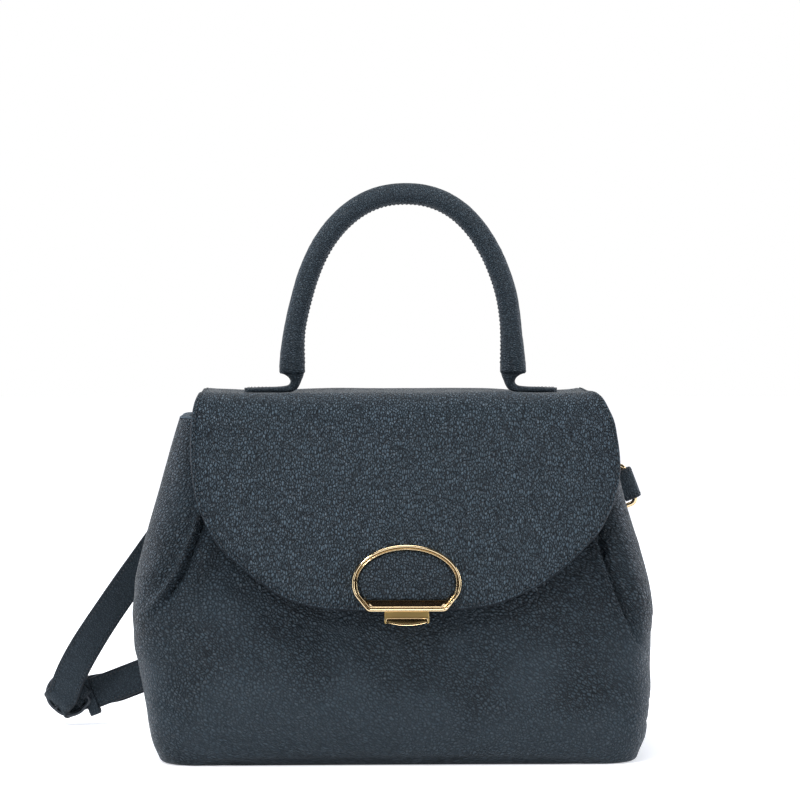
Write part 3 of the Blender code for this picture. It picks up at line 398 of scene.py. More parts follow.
def leather_material(name, cell, depth, roughness, contrast=1.0, turn=0.0, patches=0.0, tone=1.0):
    """Pebbled cow hide: cells of grain, creases between them darkened by painted shade, and smoother
    stretched patches. The tone lightens or darkens a whole piece as painted light and shade.
    """
    shader = Shader(name)
    place = shader.hide_place()
    drift = shader.noise(place, DRIFT_SCALE, 1.0, output="Color")
    shove = shader.node("ShaderNodeVectorMath", {0: drift, 1: DRIFT_REACH}, operation="MULTIPLY")[0]
    wandering = shader.node("ShaderNodeVectorMath", {0: place, 1: shove}, operation="ADD")[0]
    turned = shader.node("ShaderNodeMapping", {"Vector": wandering, "Rotation": (0.0, 0.0, turn)})[0]
    scale = (1 / cell[0], 1 / cell[1], 1 / cell[0])
    scaled = shader.node("ShaderNodeMapping", {"Vector": turned, "Scale": scale})[0]
    pattern = {"Vector": scaled, "Scale": 1.0, "Randomness": CELL_RANDOMNESS}
    creases = shader.node("ShaderNodeTexVoronoi", pattern, feature="DISTANCE_TO_EDGE")["Distance"]
    pebble = shader.node("ShaderNodeTexVoronoi", pattern, feature="F1")["Color"]
    own = shader.node("ShaderNodeSeparateColor", {0: pebble})[0]
    rounded = shader.span(creases, 0.0, PEBBLE_RISE, 0.0, 1.0)
    pillow = shader.maths("POWER", rounded, PEBBLE_POWER)
    pores = shader.noise(place, PORE_SCALE, 3.0, 0.6)
    broad = shader.noise(place, PATCH_SCALE, 1.5)
    level = shader.node("ShaderNodeSeparateXYZ", {0: shader.object_place()})[2]
    stretched = shader.maths("ADD", broad, shader.span(level, *PATCH_LEVELS, -PATCH_LEAN, PATCH_LEAN))
    tight = shader.span(stretched, *PATCH_EDGES, 1.0 - patches, 1.0)
    raised = shader.maths("MULTIPLY", pillow, tight)
    raised = shader.maths("ADD", raised, shader.maths("MULTIPLY", own, PEBBLE_OWN))
    height = shader.maths("ADD", raised, shader.maths("MULTIPLY", pores, PORE_HEIGHT))
    clouds = shader.noise(place, CLOUD_SCALE, 4.0, 0.65)
    tint = shader.maths("ADD", shader.span(clouds, *CLOUD_EDGES, 0.0, CLOUD_TINT),
                        shader.span(own, 0.0, 1.0, TINT_BASE, TINT_BASE + TINT_SPREAD * contrast))
    # The tone lightens or darkens the navy of the whole piece as painted light and shade
    base = shader.blend(tint, tinted(NAVY_LOW, tone), tinted(NAVY_HIGH, tone))
    # Painted shade: the creases between the pebbles are darkened, and the smooth patches evenly
    crease_shade = shader.maths("MULTIPLY", shader.span(rounded, 0.0, CREASE_SHADE_REACH, contrast, 0.0), tight)
    crease_shade = shader.maths("ADD", crease_shade, shader.span(tight, 0.0, 1.0, PATCH_PAINTED_SHADE, 0.0))
    rough = shader.maths("ADD", shader.span(own, 0.0, 1.0, -ROUGH_OWN, ROUGH_OWN),
                         shader.span(pillow, 0.0, 1.0, roughness + ROUGH_CREASE, roughness))
    shader.set(Base_Color=shader.blend(crease_shade, base, NAVY_CREASE_SHADE), Roughness=rough,
               Normal=shader.relief(1.0, depth, height), Specular_IOR_Level=LEATHER_SPECULAR)
    return shader.material


def edge_material():
    """Painted cut edge of the leather."""
    shader = Shader("edge_paint")
    place = shader.object_place()
    ripple = shader.noise(place, 900.0, 3.0)
    patch = shader.noise(place, 120.0, 2.0)
    shader.set(Base_Color=shader.blend(patch, NAVY_DEEP, tinted(NAVY_DEEP, 1.6)),
               Roughness=shader.span(ripple, *NOISE_EDGES, 0.44, 0.60),
               Normal=shader.relief(0.6, 0.00006, ripple), Specular_IOR_Level=0.2)
    return shader.material


def thread_material():
    """Waxed thread with a fine twist."""
    shader = Shader("thread")
    twist = shader.wave(shader.object_place(), 900.0, 3.0, "DIAGONAL")
    shader.set(Base_Color=shader.blend(twist, THREAD_DARK, THREAD_LIGHT), Roughness=0.55,
               Normal=shader.relief(0.5, 0.00005, twist))
    return shader.material


def metal_material(name, colour, roughness, brushed=0.0, depth=0.00001):
    """Plated metal with faint polishing marks."""
    shader = Shader(name)
    place = shader.object_place()
    marks = shader.noise(place, 700.0, 4.0, 0.7)
    smear = shader.noise(place, 60.0, 3.0)
    rough = shader.maths("ADD", shader.span(marks, *NOISE_EDGES, roughness, roughness + brushed + 0.02),
                         shader.span(smear, *NOISE_EDGES, 0.0, 0.05))
    shader.set(Base_Color=shader.blend(smear, tinted(colour, 0.86), colour), Metallic=1.0, Roughness=rough,
               Normal=shader.relief(0.25, depth, marks))
    return shader.material


def cloth_material(name, colour):
    """Closely woven twill."""
    shader = Shader(name)
    place = shader.hide_place()
    warp = shader.wave(place, 520.0, 0.6, "X")
    weft = shader.wave(place, 520.0, 0.6, "Y")
    twill = shader.wave(place, 180.0, 1.0, "DIAGONAL")
    weave = shader.maths("ADD", shader.maths("MULTIPLY", warp, weft), shader.maths("MULTIPLY", twill, 0.6))
    fuzz = shader.noise(place, 60.0, 3.0)
    tone = shader.maths("MULTIPLY", weave, shader.span(fuzz, *NOISE_EDGES, 0.5, 0.9))
    shader.set(Base_Color=shader.blend(tone, tinted(colour, 0.62), colour), Roughness=0.82,
               Normal=shader.relief(0.8, 0.00012, weave), Sheen_Weight=0.25, Sheen_Roughness=0.5)
    return shader.material


def plain_material(name, colour, roughness, metallic=0.0):
    """A lightly mottled finish for small inner parts."""
    shader = Shader(name)
    mottle = shader.noise(shader.object_place(), 300.0, 4.0)
    shader.set(Base_Color=shader.blend(mottle, colour, tinted(colour, 1.25)), Metallic=metallic,
               Roughness=shader.span(mottle, *NOISE_EDGES, roughness - 0.06, roughness + 0.08),
               Normal=shader.relief(0.4, 0.00003, mottle))
    return shader.material


# The tone of each hide is painted light and shade: the flap is lightened, and the body, handle and strap are
# darkened, for how the light falls on them
BODY_HIDE = leather_material("body_leather", (0.0023, 0.0015), 0.0017, 0.34, contrast=0.95, turn=0.4,
                             patches=0.50, tone=0.79)
FLAP_HIDE = leather_material("flap_leather", (0.00115, 0.0023), 0.0016, 0.34, tone=1.30)
HANDLE_HIDE = leather_material("handle_leather", (0.0016, 0.0011), 0.0004, 0.38, contrast=0.8, tone=0.66)
STRAP_HIDE = leather_material("strap_leather", (0.0014, 0.0014), 0.0003, 0.40, contrast=0.6, tone=0.56)
INLAY_HIDE = leather_material("inlay_leather", (0.0014, 0.0020), 0.0014, 0.34, tone=0.96)
INNER_HIDE = leather_material("inner_leather", (0.0013, 0.0013), 0.0002, 0.52, contrast=0.4)
EDGE = edge_material()
THREAD = thread_material()
GOLD = metal_material("polished_gold", (0.66, 0.51, 0.31, 1.0), 0.08)
BAR_GOLD = metal_material("bar_gold", (0.27, 0.20, 0.115, 1.0), 0.12, brushed=0.02)
SATIN_GOLD = metal_material("satin_gold", (0.62, 0.44, 0.17, 1.0), 0.28, brushed=0.08, depth=0.00002)
# Gold darkened as a painted dark reflection, for the lens's dish
DISH_GOLD_PAINTED_REFLECTION = metal_material("dish_gold_painted_reflection", (0.13, 0.09, 0.04, 1.0), 0.20, brushed=0.03)
STEEL = metal_material("brushed_steel", (0.45, 0.45, 0.46, 1.0), 0.32, brushed=0.1, depth=0.00003)
DARK_METAL = plain_material("dark_metal", (0.020, 0.026, 0.034, 1.0), 0.32, metallic=0.4)
LINING_CLOTH = cloth_material("lining_cloth", (0.060, 0.066, 0.078, 1.0))
BOARD = plain_material("board", (0.35, 0.30, 0.24, 1.0), 0.8)
CORE = plain_material("cord_core", (0.06, 0.065, 0.075, 1.0), 0.9)


# Stitches

STITCH_PITCH = 0.0024
STITCH_LENGTH = 0.0015
THREAD_RADIUS = 0.00046
STITCH_RISE = 0.25
# Along a stitch from its middle, and its swell there
STITCH_SHARES = ((-0.50, 0.25), (-0.34, 0.85), (0.0, 1.0), (0.34, 0.85), (0.50, 0.25))
STITCH_SIDES = 6


def stitches(name, runs, pitch=STITCH_PITCH, length=STITCH_LENGTH, radius=THREAD_RADIUS):
    """Short raised threads along runs of points with their surface normals."""
    verts = []
    faces = []
    for points, normals in runs:
        running = lengths_along(points)
        count = max(int(running[-1] / pitch), 1)
        places = (np.arange(count) + 0.5) * running[-1] / count
        ahead = resample(points, places + pitch / 4) - resample(points, places - pitch / 4)
        for centre, along, up in zip(resample(points, places), ahead, read_rows(places, running, normals)):
            along = Vector(along).normalized()
            up = Vector(up)
            up = (up - along * up.dot(along)).normalized()
            across = along.cross(up)
            first = len(verts)
            for share, swell in STITCH_SHARES:
                middle = Vector(centre) + along * length * share + up * radius * (swell - 1 + STITCH_RISE)
                for angle in full_turn(STITCH_SIDES):
                    out = across * math.cos(angle) + up * math.sin(angle)
                    verts.append(middle + out * radius * swell)
            last = first + (len(STITCH_SHARES) - 1) * STITCH_SIDES
            for low in range(first, last, STITCH_SIDES):
                for side in range(STITCH_SIDES):
                    after = (side + 1) % STITCH_SIDES
                    face = (low + side, low + after, low + STITCH_SIDES + after, low + STITCH_SIDES + side)
                    faces.append(face)
            faces.append(tuple(first + side for side in reversed(range(STITCH_SIDES))))
            faces.append(tuple(last + side for side in range(STITCH_SIDES)))
    mesh = bpy.data.meshes.new(name)
    mesh.from_pydata([tuple(vert) for vert in verts], [], faces)
    mesh.validate()
    return new_object(name, mesh, THREAD)


# Body

def half_width(z):
    return BODY_HALF_WIDTH * read_shares(WIDTH_SHARES, z / BODY_HEIGHT)


def half_depth(z):
    return BODY_HALF_DEPTH * read_shares(DEPTH_SHARES, z / BODY_HEIGHT)


def corner_power(z):
    return read_shares(CORNER_POWERS, z / BODY_HEIGHT)


SECTION_POINTS = 400
FRONT_FINE_FROM = 0.088
FRONT_FINE_TO = 0.160
FINE_STEP = 0.00085
COARSE_STEP = 0.0022
# How much shorter a quarter of the outline is than its half width and half depth together
QUARTER_CUT = 0.022


def quarter_places(fine):
    """Places from the middle of the front or back to the middle of a side, as shares of the quarter."""
    full = BODY_HALF_WIDTH + BODY_HALF_DEPTH - QUARTER_CUT
    places = [0.0]
    while places[-1] < full:
        within = fine and FRONT_FINE_FROM < places[-1] < FRONT_FINE_TO
        places.append(places[-1] + (FINE_STEP if within else COARSE_STEP))
    places = np.array(places)
    return places / places[-1]


def quarter(z, inset):
    """Dense points from the front's middle to the right side's middle at one height."""
    power = 2 / corner_power(z)
    angle = math.pi / 2 * np.concatenate([np.linspace(0, 1, SECTION_POINTS) ** 3 / 2,
                                          1 - np.linspace(1, 0, SECTION_POINTS)[1:] ** 3 / 2])
    x = np.sin(angle) ** power * (half_width(z) - inset)
    y = np.cos(angle) ** power * (half_depth(z) - inset)
    return np.stack([x, y], axis=1)


def section(z, inset):
    """One closed outline, anticlockwise from the front's middle."""
    chain = quarter(z, inset)
    length = lengths_along(chain)[-1]
    front = resample(chain, quarter_places(True) * length)
    back = resample(chain, quarter_places(False) * length)
    right_front = front * (1, -1)
    right_back = back[::-1][1:]
    left_back = (back * (-1, 1))[1:]
    left_front = (front * (-1, -1))[::-1][1:-1]
    return np.vstack([right_front, right_back, left_back, left_front])


def path_distance(x, z, path):
    """Signed distance to a fold line, positive towards the bag's side, and the share along it."""
    path = np.array(path)
    side = np.sign(path[0, 0])
    running = lengths_along(path)
    best = np.full(x.shape, np.inf)
    signed = np.zeros(x.shape)
    share = np.zeros(x.shape)
    for number in range(len(path) - 1):
        start = path[number]
        step = path[number + 1] - start
        length = np.linalg.norm(step)
        along = ((x - start[0]) * step[0] + (z - start[1]) * step[1]) / length
        held = np.clip(along, 0.0, length)
        if number == 0:
            held = np.minimum(along, length)
        dx = x - start[0] - step[0] / length * held
        dz = z - start[1] - step[1] / length * held
        distance = np.hypot(dx, dz)
        nearer = distance < best
        best = np.where(nearer, distance, best)
        turn = (step[0] * (z - start[1]) - step[1] * (x - start[0])) * side
        signed = np.where(nearer, np.where(turn > 0, distance, -distance), signed)
        share = np.where(nearer, (running[number] + held) / running[-1], share)
    return signed, share


def noise_field(points, scale, seed=0.0):
    """Smooth noise from -1 to 1 at each point."""
    flat = points.reshape(-1, 3) * scale + seed
    values = [noise.fractal(Vector(point), 1.0, 2.0, 2) for point in flat]
    return np.array(values).reshape(points.shape[:-1])


def outward_of(points):
    """Level unit vectors that point out of closed rows of points."""
    ahead = np.roll(points, -1, axis=1) - np.roll(points, 1, axis=1)
    out = np.stack([ahead[..., 1], -ahead[..., 0], np.zeros(ahead.shape[:2])], axis=-1)
    return unit(out)


def hide_grain(points, turn=0.0):
    """Where rows of a closed wall lie on the hide: round the bag and up it."""
    around = np.linalg.norm(np.roll(points, -1, axis=1) - points, axis=-1)
    u = np.concatenate([np.zeros((len(points), 1)), np.cumsum(around, axis=1)], axis=1)
    u = u - u[:, -1:] / 2
    rise = np.linalg.norm(np.diff(points, axis=0), axis=-1).mean(axis=1)
    v = np.concatenate([[0.0], np.cumsum(rise)])
    v = np.repeat(v[:, None], u.shape[1], axis=1)
    across = u * math.cos(turn) - v * math.sin(turn)
    return np.stack([across, u * math.sin(turn) + v * math.cos(turn)], axis=-1)


# Over what depth the front's pleats begin, from the side seam forwards
FRONT_BLEND = 0.012
# Ridges and hollows beside a fold line: how high, how far towards the bag's side, and how wide
LEFT_RIDGES = ((0.0040, 0.0034, 0.0023), (0.0014, -0.0060, 0.0050), (-0.0016, -0.0170, 0.0080),
               (0.0022, 0.0140, 0.0095))
RIGHT_RIDGES = ((-0.0012, -0.0170, 0.0080), (0.0020, 0.0135, 0.0080))
LEFT_FADE = 0.76
LEFT_GROOVE = 0.0024
LEFT_GROOVE_WIDTH = 0.0012
LEFT_WIDER_FROM = 0.7
RIGHT_FADE = 0.80
RIGHT_STEP = 0.0034
RIGHT_STEP_PLACE = -0.0002
RIGHT_STEP_WIDTH = 0.00045
RIGHT_INNER_WIDTH = 0.0050
RIGHT_OUTER_WIDTH = 0.0042


def fade_in(share, start):
    """Smooth rise from 0 at a share of the way to 1 at its end."""
    return smooth((share - start) / (1 - start))


def ridges(away, table):
    return sum(height * bump(away - place, width) for height, place, width in table)


def pleats(points):
    """How far the front stands out or in at its two pleats: a groove on the left, a step on the right."""
    x, y, z = np.moveaxis(points, -1, 0)
    away, share = path_distance(x, z, LEFT_PLEAT)
    width = LEFT_GROOVE_WIDTH * (1 + fade_in(share, LEFT_WIDER_FROM))
    left = ridges(away, LEFT_RIDGES) - LEFT_GROOVE * bump(away, width)
    left = left * (1 - fade_in(share, LEFT_FADE))
    away, share = path_distance(x, z, RIGHT_PLEAT)
    inner = 0.5 - 0.5 * np.tanh((away - RIGHT_STEP_PLACE) / RIGHT_STEP_WIDTH)
    step = (inner * bump(np.minimum(away, 0.0), RIGHT_INNER_WIDTH)
            - (1 - inner) * bump(np.maximum(away, 0.0), RIGHT_OUTER_WIDTH))
    right = ridges(away, RIGHT_RIDGES) + RIGHT_STEP * step
    right = right * (1 - fade_in(share, RIGHT_FADE))
    return (left + right) * smooth(-y / FRONT_BLEND)


def foot_lift(points):
    """How far the foot stands up at its front, between its corners."""
    x, y, z = np.moveaxis(points, -1, 0)
    across = 1 - np.clip(np.abs((x - FOOT_LIFT_MIDDLE) / FOOT_LIFT_HALF), 0.0, 1.0) ** 5
    front = smooth((-y - half_depth(0.0) + FOOT_LIFT_DEPTH) / FOOT_LIFT_BLEND)
    return FOOT_LIFT * across * front * (1 - smooth(z / FOOT_LIFT_RISE))


# Waves of the walls: their scale, their place in the noise and their height
WALL_WAVES = ((17.0, 3.1, 0.0013), (42.0, 8.4, 0.00055))
# The waves fade out towards the mouth and the floor, and the pleats towards the mouth
MOUTH_FADE = 0.014
LOW_FADE = 0.010
PLEAT_FADE = 0.030
SIDE_FROM = 0.118
SIDE_BLEND = 0.03
SIDE_HOLLOW = 0.0034
SIDE_HOLLOW_WIDTH = 0.022
SIDE_HOLLOW_RISE = 0.16
SIDE_SEAM = 0.0007
SIDE_SEAM_Y = 0.001
SIDE_SEAM_WIDTH = 0.0009
# Short creases above the corners of the foot: height, place across, slope and depth
FOOT_CREASES = ((0.028, 0.130, 0.5, 0.0008), (0.021, 0.135, 0.2, 0.0006), (0.034, -0.136, -0.4, 0.0006))
FOOT_CREASE_WIDTH = 0.0014
FOOT_CREASE_LENGTH = 0.010
FOOT_CREASE_FRONT = 0.01


def wall(heights, inset):
    """The body's soft wall at some heights: closed rows of points, moved in by an inset."""
    rings = []
    for z, shrink in zip(heights, np.broadcast_to(inset, len(heights))):
        flat = section(z, shrink)
        rings.append(np.column_stack([flat, np.full(len(flat), z)]))
    points = np.array(rings)
    out = outward_of(points)
    points[..., 0] += np.array([read_shares(LEAN_ASIDE, z) for z in heights])[:, None]
    x, y, z = np.moveaxis(points, -1, 0)
    held = smooth((BODY_HEIGHT - z) / MOUTH_FADE) * smooth(z / LOW_FADE)
    sides = smooth((np.abs(x) - SIDE_FROM) / SIDE_BLEND)
    swell = pleats(points) * smooth((BODY_HEIGHT - z) / PLEAT_FADE)
    swell += sum(height * noise_field(points, scale, seed) for scale, seed, height in WALL_WAVES) * held
    swell -= SIDE_HOLLOW * bump(y, SIDE_HOLLOW_WIDTH) * sides * smooth(z / SIDE_HOLLOW_RISE)
    swell -= SIDE_SEAM * bump(y - SIDE_SEAM_Y, SIDE_SEAM_WIDTH) * sides * held
    for crease_z, crease_x, slope, depth in FOOT_CREASES:
        line = bump((z - crease_z) - slope * (x - crease_x), FOOT_CREASE_WIDTH)
        line = line * bump(x - crease_x, FOOT_CREASE_LENGTH)
        swell -= depth * line * smooth(-y / FOOT_CREASE_FRONT)
    points += out * swell[..., None]
    points[..., 2] += foot_lift(points)
    return points


def inner_rings(ring, shares, middle=0.0):
    """Copies of a ring drawn in towards its middle, the smallest first."""
    rings = np.repeat(ring[None], len(shares), axis=0)
    share = np.array(shares)[:, None]
    rings[..., 0] = (rings[..., 0] - middle) * share + middle
    rings[..., 1] *= share
    return rings[::-1]


WALL_ROWS = 172
FOOT_STEPS = 6
FLOOR_SHARES = (0.995, 0.98, 0.96, 0.935, 0.90, 0.70, 0.40)
BODY_GRAIN_TURN = 0.28


def make_body():
    """One soft shell of front, back, sides and foot."""
    low = [FOOT_RADIUS * (1 - math.cos(math.pi / 2 * step / FOOT_STEPS)) for step in range(FOOT_STEPS + 1)]
    heights = np.concatenate([low, np.linspace(FOOT_RADIUS, MOUTH_Z, WALL_ROWS)[1:]])
    below = FOOT_RADIUS - np.minimum(heights, FOOT_RADIUS)
    points = wall(heights, FOOT_RADIUS - np.sqrt(FOOT_RADIUS**2 - below**2))
    floor_rings = inner_rings(points[0], FLOOR_SHARES, read_shares(LEAN_ASIDE, 0.0))
    floor_rings[..., 2] = 0.0
    floor_rings[..., 2] = foot_lift(floor_rings)
    points = np.concatenate([floor_rings, points])
    body = grid("body_shell", points, hide_grain(points, BODY_GRAIN_TURN), [BODY_HIDE, EDGE], closed=True)
    close_bottom(body, points.shape[1])
    thicken(body, LEATHER)
    ride(body, "root", "body_leather", "front_panel", "back_panel", "base_panel")


BOARD_LOW = 0.0034
BOARD_HIGH = 0.0054
BOARD_INSET = 0.0055
BOARD_FRONT = -0.0580


def make_board():
    """Stiff board on the base, inside the leather."""
    flat = section(BOARD_LOW, BOARD_INSET)
    x = flat[:, 0] + read_shares(LEAN_ASIDE, BOARD_LOW)
    y = np.maximum(flat[:, 1], BOARD_FRONT)
    points = np.array([np.column_stack([x, y, np.full(len(x), z)]) for z in (BOARD_LOW, BOARD_HIGH)])
    board = grid("base_board_sheet", points, hide_grain(points), [BOARD], closed=True, caps=True)
    ride(board, "root", "board", "base_board")


LINING_INSET = 0.0038
LINING_THICKNESS = 0.0010
LINING_FLOOR = 0.0058
LINING_FLOOR_INSET = 0.0050
LINING_FLOOR_SHARES = (0.985, 0.80, 0.50)
LINING_ROWS = 60
FACING_THICKNESS = 0.0012
FACING_HEIGHT = 0.022
FACING_SEW = 0.0022
POCKET_HALF = 0.055
POCKET_TOP = 0.154
POCKET_HEIGHT = 0.080
POCKET_THICKNESS = 0.0012
POCKET_SLACK = 0.0030
POCKET_CLEAR = 0.0008
INNER_STITCH = {"pitch": 0.0030, "length": 0.0022}
LINING_GRAIN_TURN = 0.785


def make_lining():
    """Cloth lining with its floor."""
    heights = np.concatenate([[LINING_FLOOR], np.linspace(LINING_FLOOR + 0.002, MOUTH_Z, LINING_ROWS)])
    inset = np.full(len(heights), LINING_INSET)
    inset[0] = LINING_FLOOR_INSET
    points = wall(heights, inset)[:, ::2]
    points[..., 2] = heights[:, None]
    points = np.concatenate([inner_rings(points[0], LINING_FLOOR_SHARES), points])
    grain = hide_grain(points, LINING_GRAIN_TURN)
    lining = grid("lining_shell", points, grain, [LINING_CLOTH, EDGE], closed=True)
    close_bottom(lining, points.shape[1])
    thicken(lining, LINING_THICKNESS)
    ride(lining, "root", "lining_cloth", "lining")


def make_facing():
    """Leather folded over the mouth's edge and sewn down inside."""
    leg = LINING_INSET + LINING_THICKNESS + GAP
    leg_in = leg + FACING_THICKNESS
    seat = MOUTH_Z + GAP
    top = seat + FACING_THICKNESS
    low = MOUTH_Z - FACING_HEIGHT
    outline = [(0.0, seat), (-0.0001, seat + 0.0005), (0.0003, top - 0.0003), (0.0010, top)]
    outline += [(leg_in - 0.0012, top), (leg_in - 0.0004, top - 0.0003), (leg_in, top - 0.0011)]
    outline += [(leg_in, z) for z in np.linspace(MOUTH_Z - 0.001, low + 0.0004, 9)]
    outline += [(leg_in - 0.0003, low), (leg + 0.0003, low), (leg, low + 0.0004), (leg, seat - 0.0012)]
    outline += [(leg - 0.0004, seat)]
    inset, level = np.array(outline).T
    rows = wall(np.minimum(level, BODY_HEIGHT), inset)
    rows[..., 2] = level[:, None]
    facing = sweep("mouth_roll", np.swapaxes(rows[:, ::2], 0, 1), INNER_HIDE, closed_path=True)
    ride(facing, "root", "body_leather", "mouth_facing")
    sewn_z = low + FACING_SEW
    seam = wall(np.array([sewn_z]), leg_in + 0.0001)
    seam[..., 2] = sewn_z
    inward = -outward_of(seam)
    run = [np.vstack([closed[0], closed[0][:1]]) for closed in (seam, inward)]
    ride(stitches("mouth_stitches", [run], **INNER_STITCH), "root", "body_leather")


def make_pocket():
    """A slip pocket of lining cloth on the back wall, a little open at its top."""
    heights = np.linspace(POCKET_TOP - POCKET_HEIGHT, POCKET_TOP, 24)
    across = np.linspace(-POCKET_HALF, POCKET_HALF, 48)
    rows = wall(heights, LINING_INSET + LINING_THICKNESS + POCKET_CLEAR)
    points = np.zeros((len(heights), len(across), 3))
    for number, (row, z) in enumerate(zip(rows, heights)):
        back = row[row[:, 1] > 0]
        back = back[np.argsort(back[:, 0])]
        y = np.interp(across, back[:, 0], back[:, 1])
        slack = smooth((z - heights[0]) / POCKET_HEIGHT) * (1 - (across / POCKET_HALF) ** 2) * POCKET_SLACK
        points[number] = np.column_stack([across, y - slack, np.full(len(across), z)])
    grain = np.stack(np.meshgrid(across, heights), axis=-1)
    pocket = grid("pocket_cloth", points, grain, [LINING_CLOTH, EDGE])
    orient(pocket, Vector((0.0, -0.5, 0.1)))
    thicken(pocket, POCKET_THICKNESS)
    ride(pocket, "root", "lining_cloth", "slip_pocket")
    top = points[-2] - (0.0, 0.0001, 0.0)
    facing = np.tile((0.0, -1.0, 0.0), (len(top), 1))
    ride(stitches("pocket_stitches", [(top, facing)], **INNER_STITCH), "root", "lining_cloth")


def close_bottom(thing, count):
    """Close a shell's lowest ring with one flat face."""
    def change(shape):
        shape.verts.ensure_lookup_table()
        shape.faces.new([shape.verts[number] for number in reversed(range(count))])

    edit(thing, change)


make_body()

# Flap

# How far the flap's seam stands out of the back, and how far its top spreads beyond the seam on each side
SEAM_OUT = 0.0021
TOP_SPREAD = (0.0085, 0.0002)
TOP_SAG = 0.0006
SEAM_ROWS = 8
FACE_ROWS = 160


def flap_profile():
    """The flap's outer face from its seam on the back to its lip: y, z and its two half widths."""
    up = np.array((math.sin(LOCK_LEAN), math.cos(LOCK_LEAN)))
    face = np.array((-math.cos(LOCK_LEAN), math.sin(LOCK_LEAN)))
    plane = np.array((-half_depth(LOCK_Z), LOCK_Z)) + face * FLAP_FACE
    chain = []
    for z in np.linspace(STRIP_BOTTOM_Z, HINGE_Z, SEAM_ROWS):
        chain.append((half_depth(min(z, BODY_HEIGHT)) + SEAM_OUT, z, FLAP_SEAM_HALF, FLAP_SEAM_HALF))
    back = np.array((FLAP_BACK_Y - FLAP_BACK_BEND, FLAP_TOP_Z - FLAP_BACK_BEND))
    for angle in np.linspace(0.05, math.pi / 2, 14):
        y, z = back + FLAP_BACK_BEND * np.array((math.cos(angle), math.sin(angle)))
        share = eased(angle / (math.pi / 2))
        chain.append((y, z, FLAP_SEAM_HALF + TOP_SPREAD[0] * share, FLAP_SEAM_HALF + TOP_SPREAD[1] * share))
    bend_z = FLAP_TOP_Z - FLAP_FRONT_BEND
    rise = (bend_z + FLAP_FRONT_BEND * face[1] - plane[1]) / up[1]
    centre = plane + up * rise - face * FLAP_FRONT_BEND
    top_from = np.array(chain[-1])
    top_to = np.array((centre[0], FLAP_TOP_Z, FLAP_LEFT[-1][1], FLAP_RIGHT[-1][1]))
    for share in np.linspace(0.0, 1.0, 12)[1:-1]:
        y, _, left, right = top_from + (top_to - top_from) * share
        chain.append((y, FLAP_TOP_Z - TOP_SAG * math.sin(math.pi * share), left, right))
    places = [centre + FLAP_FRONT_BEND * np.array((math.cos(angle), math.sin(angle)))
              for angle in np.linspace(math.pi / 2, math.pi - LOCK_LEAN, 22)]
    lip = plane + up * ((FLAP_LIP_Z - plane[1]) / up[1])
    drop_from = places[-1]
    shares = 1 - (1 - np.linspace(0.0, 1.0, FACE_ROWS)[1:]) ** 1.5
    places += [drop_from + (lip - drop_from) * share for share in shares]
    chain += [(y, z, read_shares(FLAP_LEFT, z), read_shares(FLAP_RIGHT, z)) for y, z in places]
    return np.array(chain)


PROFILE = flap_profile()
PROFILE_RUN = lengths_along(PROFILE[:, :2])
PROFILE_STEP = 0.0008


def profile_at(v):
    """The flap's y and z at places along it."""
    return np.array([np.interp(v, PROFILE_RUN, PROFILE[:, column]) for column in (0, 1)])


def flap_place(u, v, lift=0.0):
    """A point of the flap's outer face, from across and along it, with its normal."""
    y, z = profile_at(v)
    y_on, z_on = profile_at(v + PROFILE_STEP) - profile_at(v - PROFILE_STEP)
    size = np.hypot(y_on, z_on)
    drop = np.clip((FLAP_TOP_Z - z) / FLAP_FRONT_BEND, 0.0, 1.0) * (y < 0)
    bow = FLAP_BOW * drop * np.abs(u / FLAP_BOW_HALF) ** 3
    normal = np.stack([np.zeros_like(u), z_on / size, -y_on / size], axis=-1)
    normal = np.where((normal[..., 2:3] < 0) & (z > FLAP_TOP_Z - 0.012)[..., None], -normal, normal)
    point = np.stack([u, y + bow, z], axis=-1)
    return point + normal * np.asarray(lift)[..., None], normal


def flap_outline(inset_from=0.0):
    """The flap's outline on the hide, anticlockwise: up the right edge, along the seam, down the left."""
    kept = PROFILE_RUN >= inset_from
    run = PROFILE_RUN[kept]
    right = np.column_stack([PROFILE[kept, 3], run])
    left = np.column_stack([-PROFILE[kept, 2], run])[::-1]
    return np.vstack([right, left])


def even_loop(outline, step):
    """A closed outline cut into even steps."""
    closed = np.vstack([outline, outline[:1]])
    length = lengths_along(closed)[-1]
    count = int(length / step)
    return resample(closed, np.arange(count) * length / count)


def inset_loop(loop, distance):
    """A loop moved in by a distance."""
    ahead = np.roll(loop, -1, axis=0) - np.roll(loop, 1, axis=0)
    normal = unit(np.column_stack([-ahead[:, 1], ahead[:, 0]]))
    area = np.sum(loop[:, 0] * np.roll(loop[:, 1], -1) - np.roll(loop[:, 0], -1) * loop[:, 1])
    return loop + normal * distance * (1 if area > 0 else -1)


def loop_distance(points, loop):
    """Distance of each point to a closed loop."""
    best = np.full(len(points), np.inf)
    for start, end in zip(loop, np.roll(loop, -1, axis=0)):
        step = end - start
        share = np.clip(((points - start) @ step) / max(step @ step, 1e-18), 0.0, 1.0)
        offset = points - start - share[:, None] * step
        best = np.minimum(best, np.hypot(offset[:, 0], offset[:, 1]))
    return best


def inside_loop(points, loop):
    """Whether each point lies within a closed loop."""
    inside = np.zeros(len(points), bool)
    x, y = points[:, 0], points[:, 1]
    for (x0, y0), (x1, y1) in zip(loop, np.roll(loop, -1, axis=0)):
        crosses = (y0 > y) != (y1 > y)
        with np.errstate(divide="ignore", invalid="ignore"):
            at = x0 + (y - y0) / (y1 - y0) * (x1 - x0)
        inside ^= crosses & (x < at)
    return inside


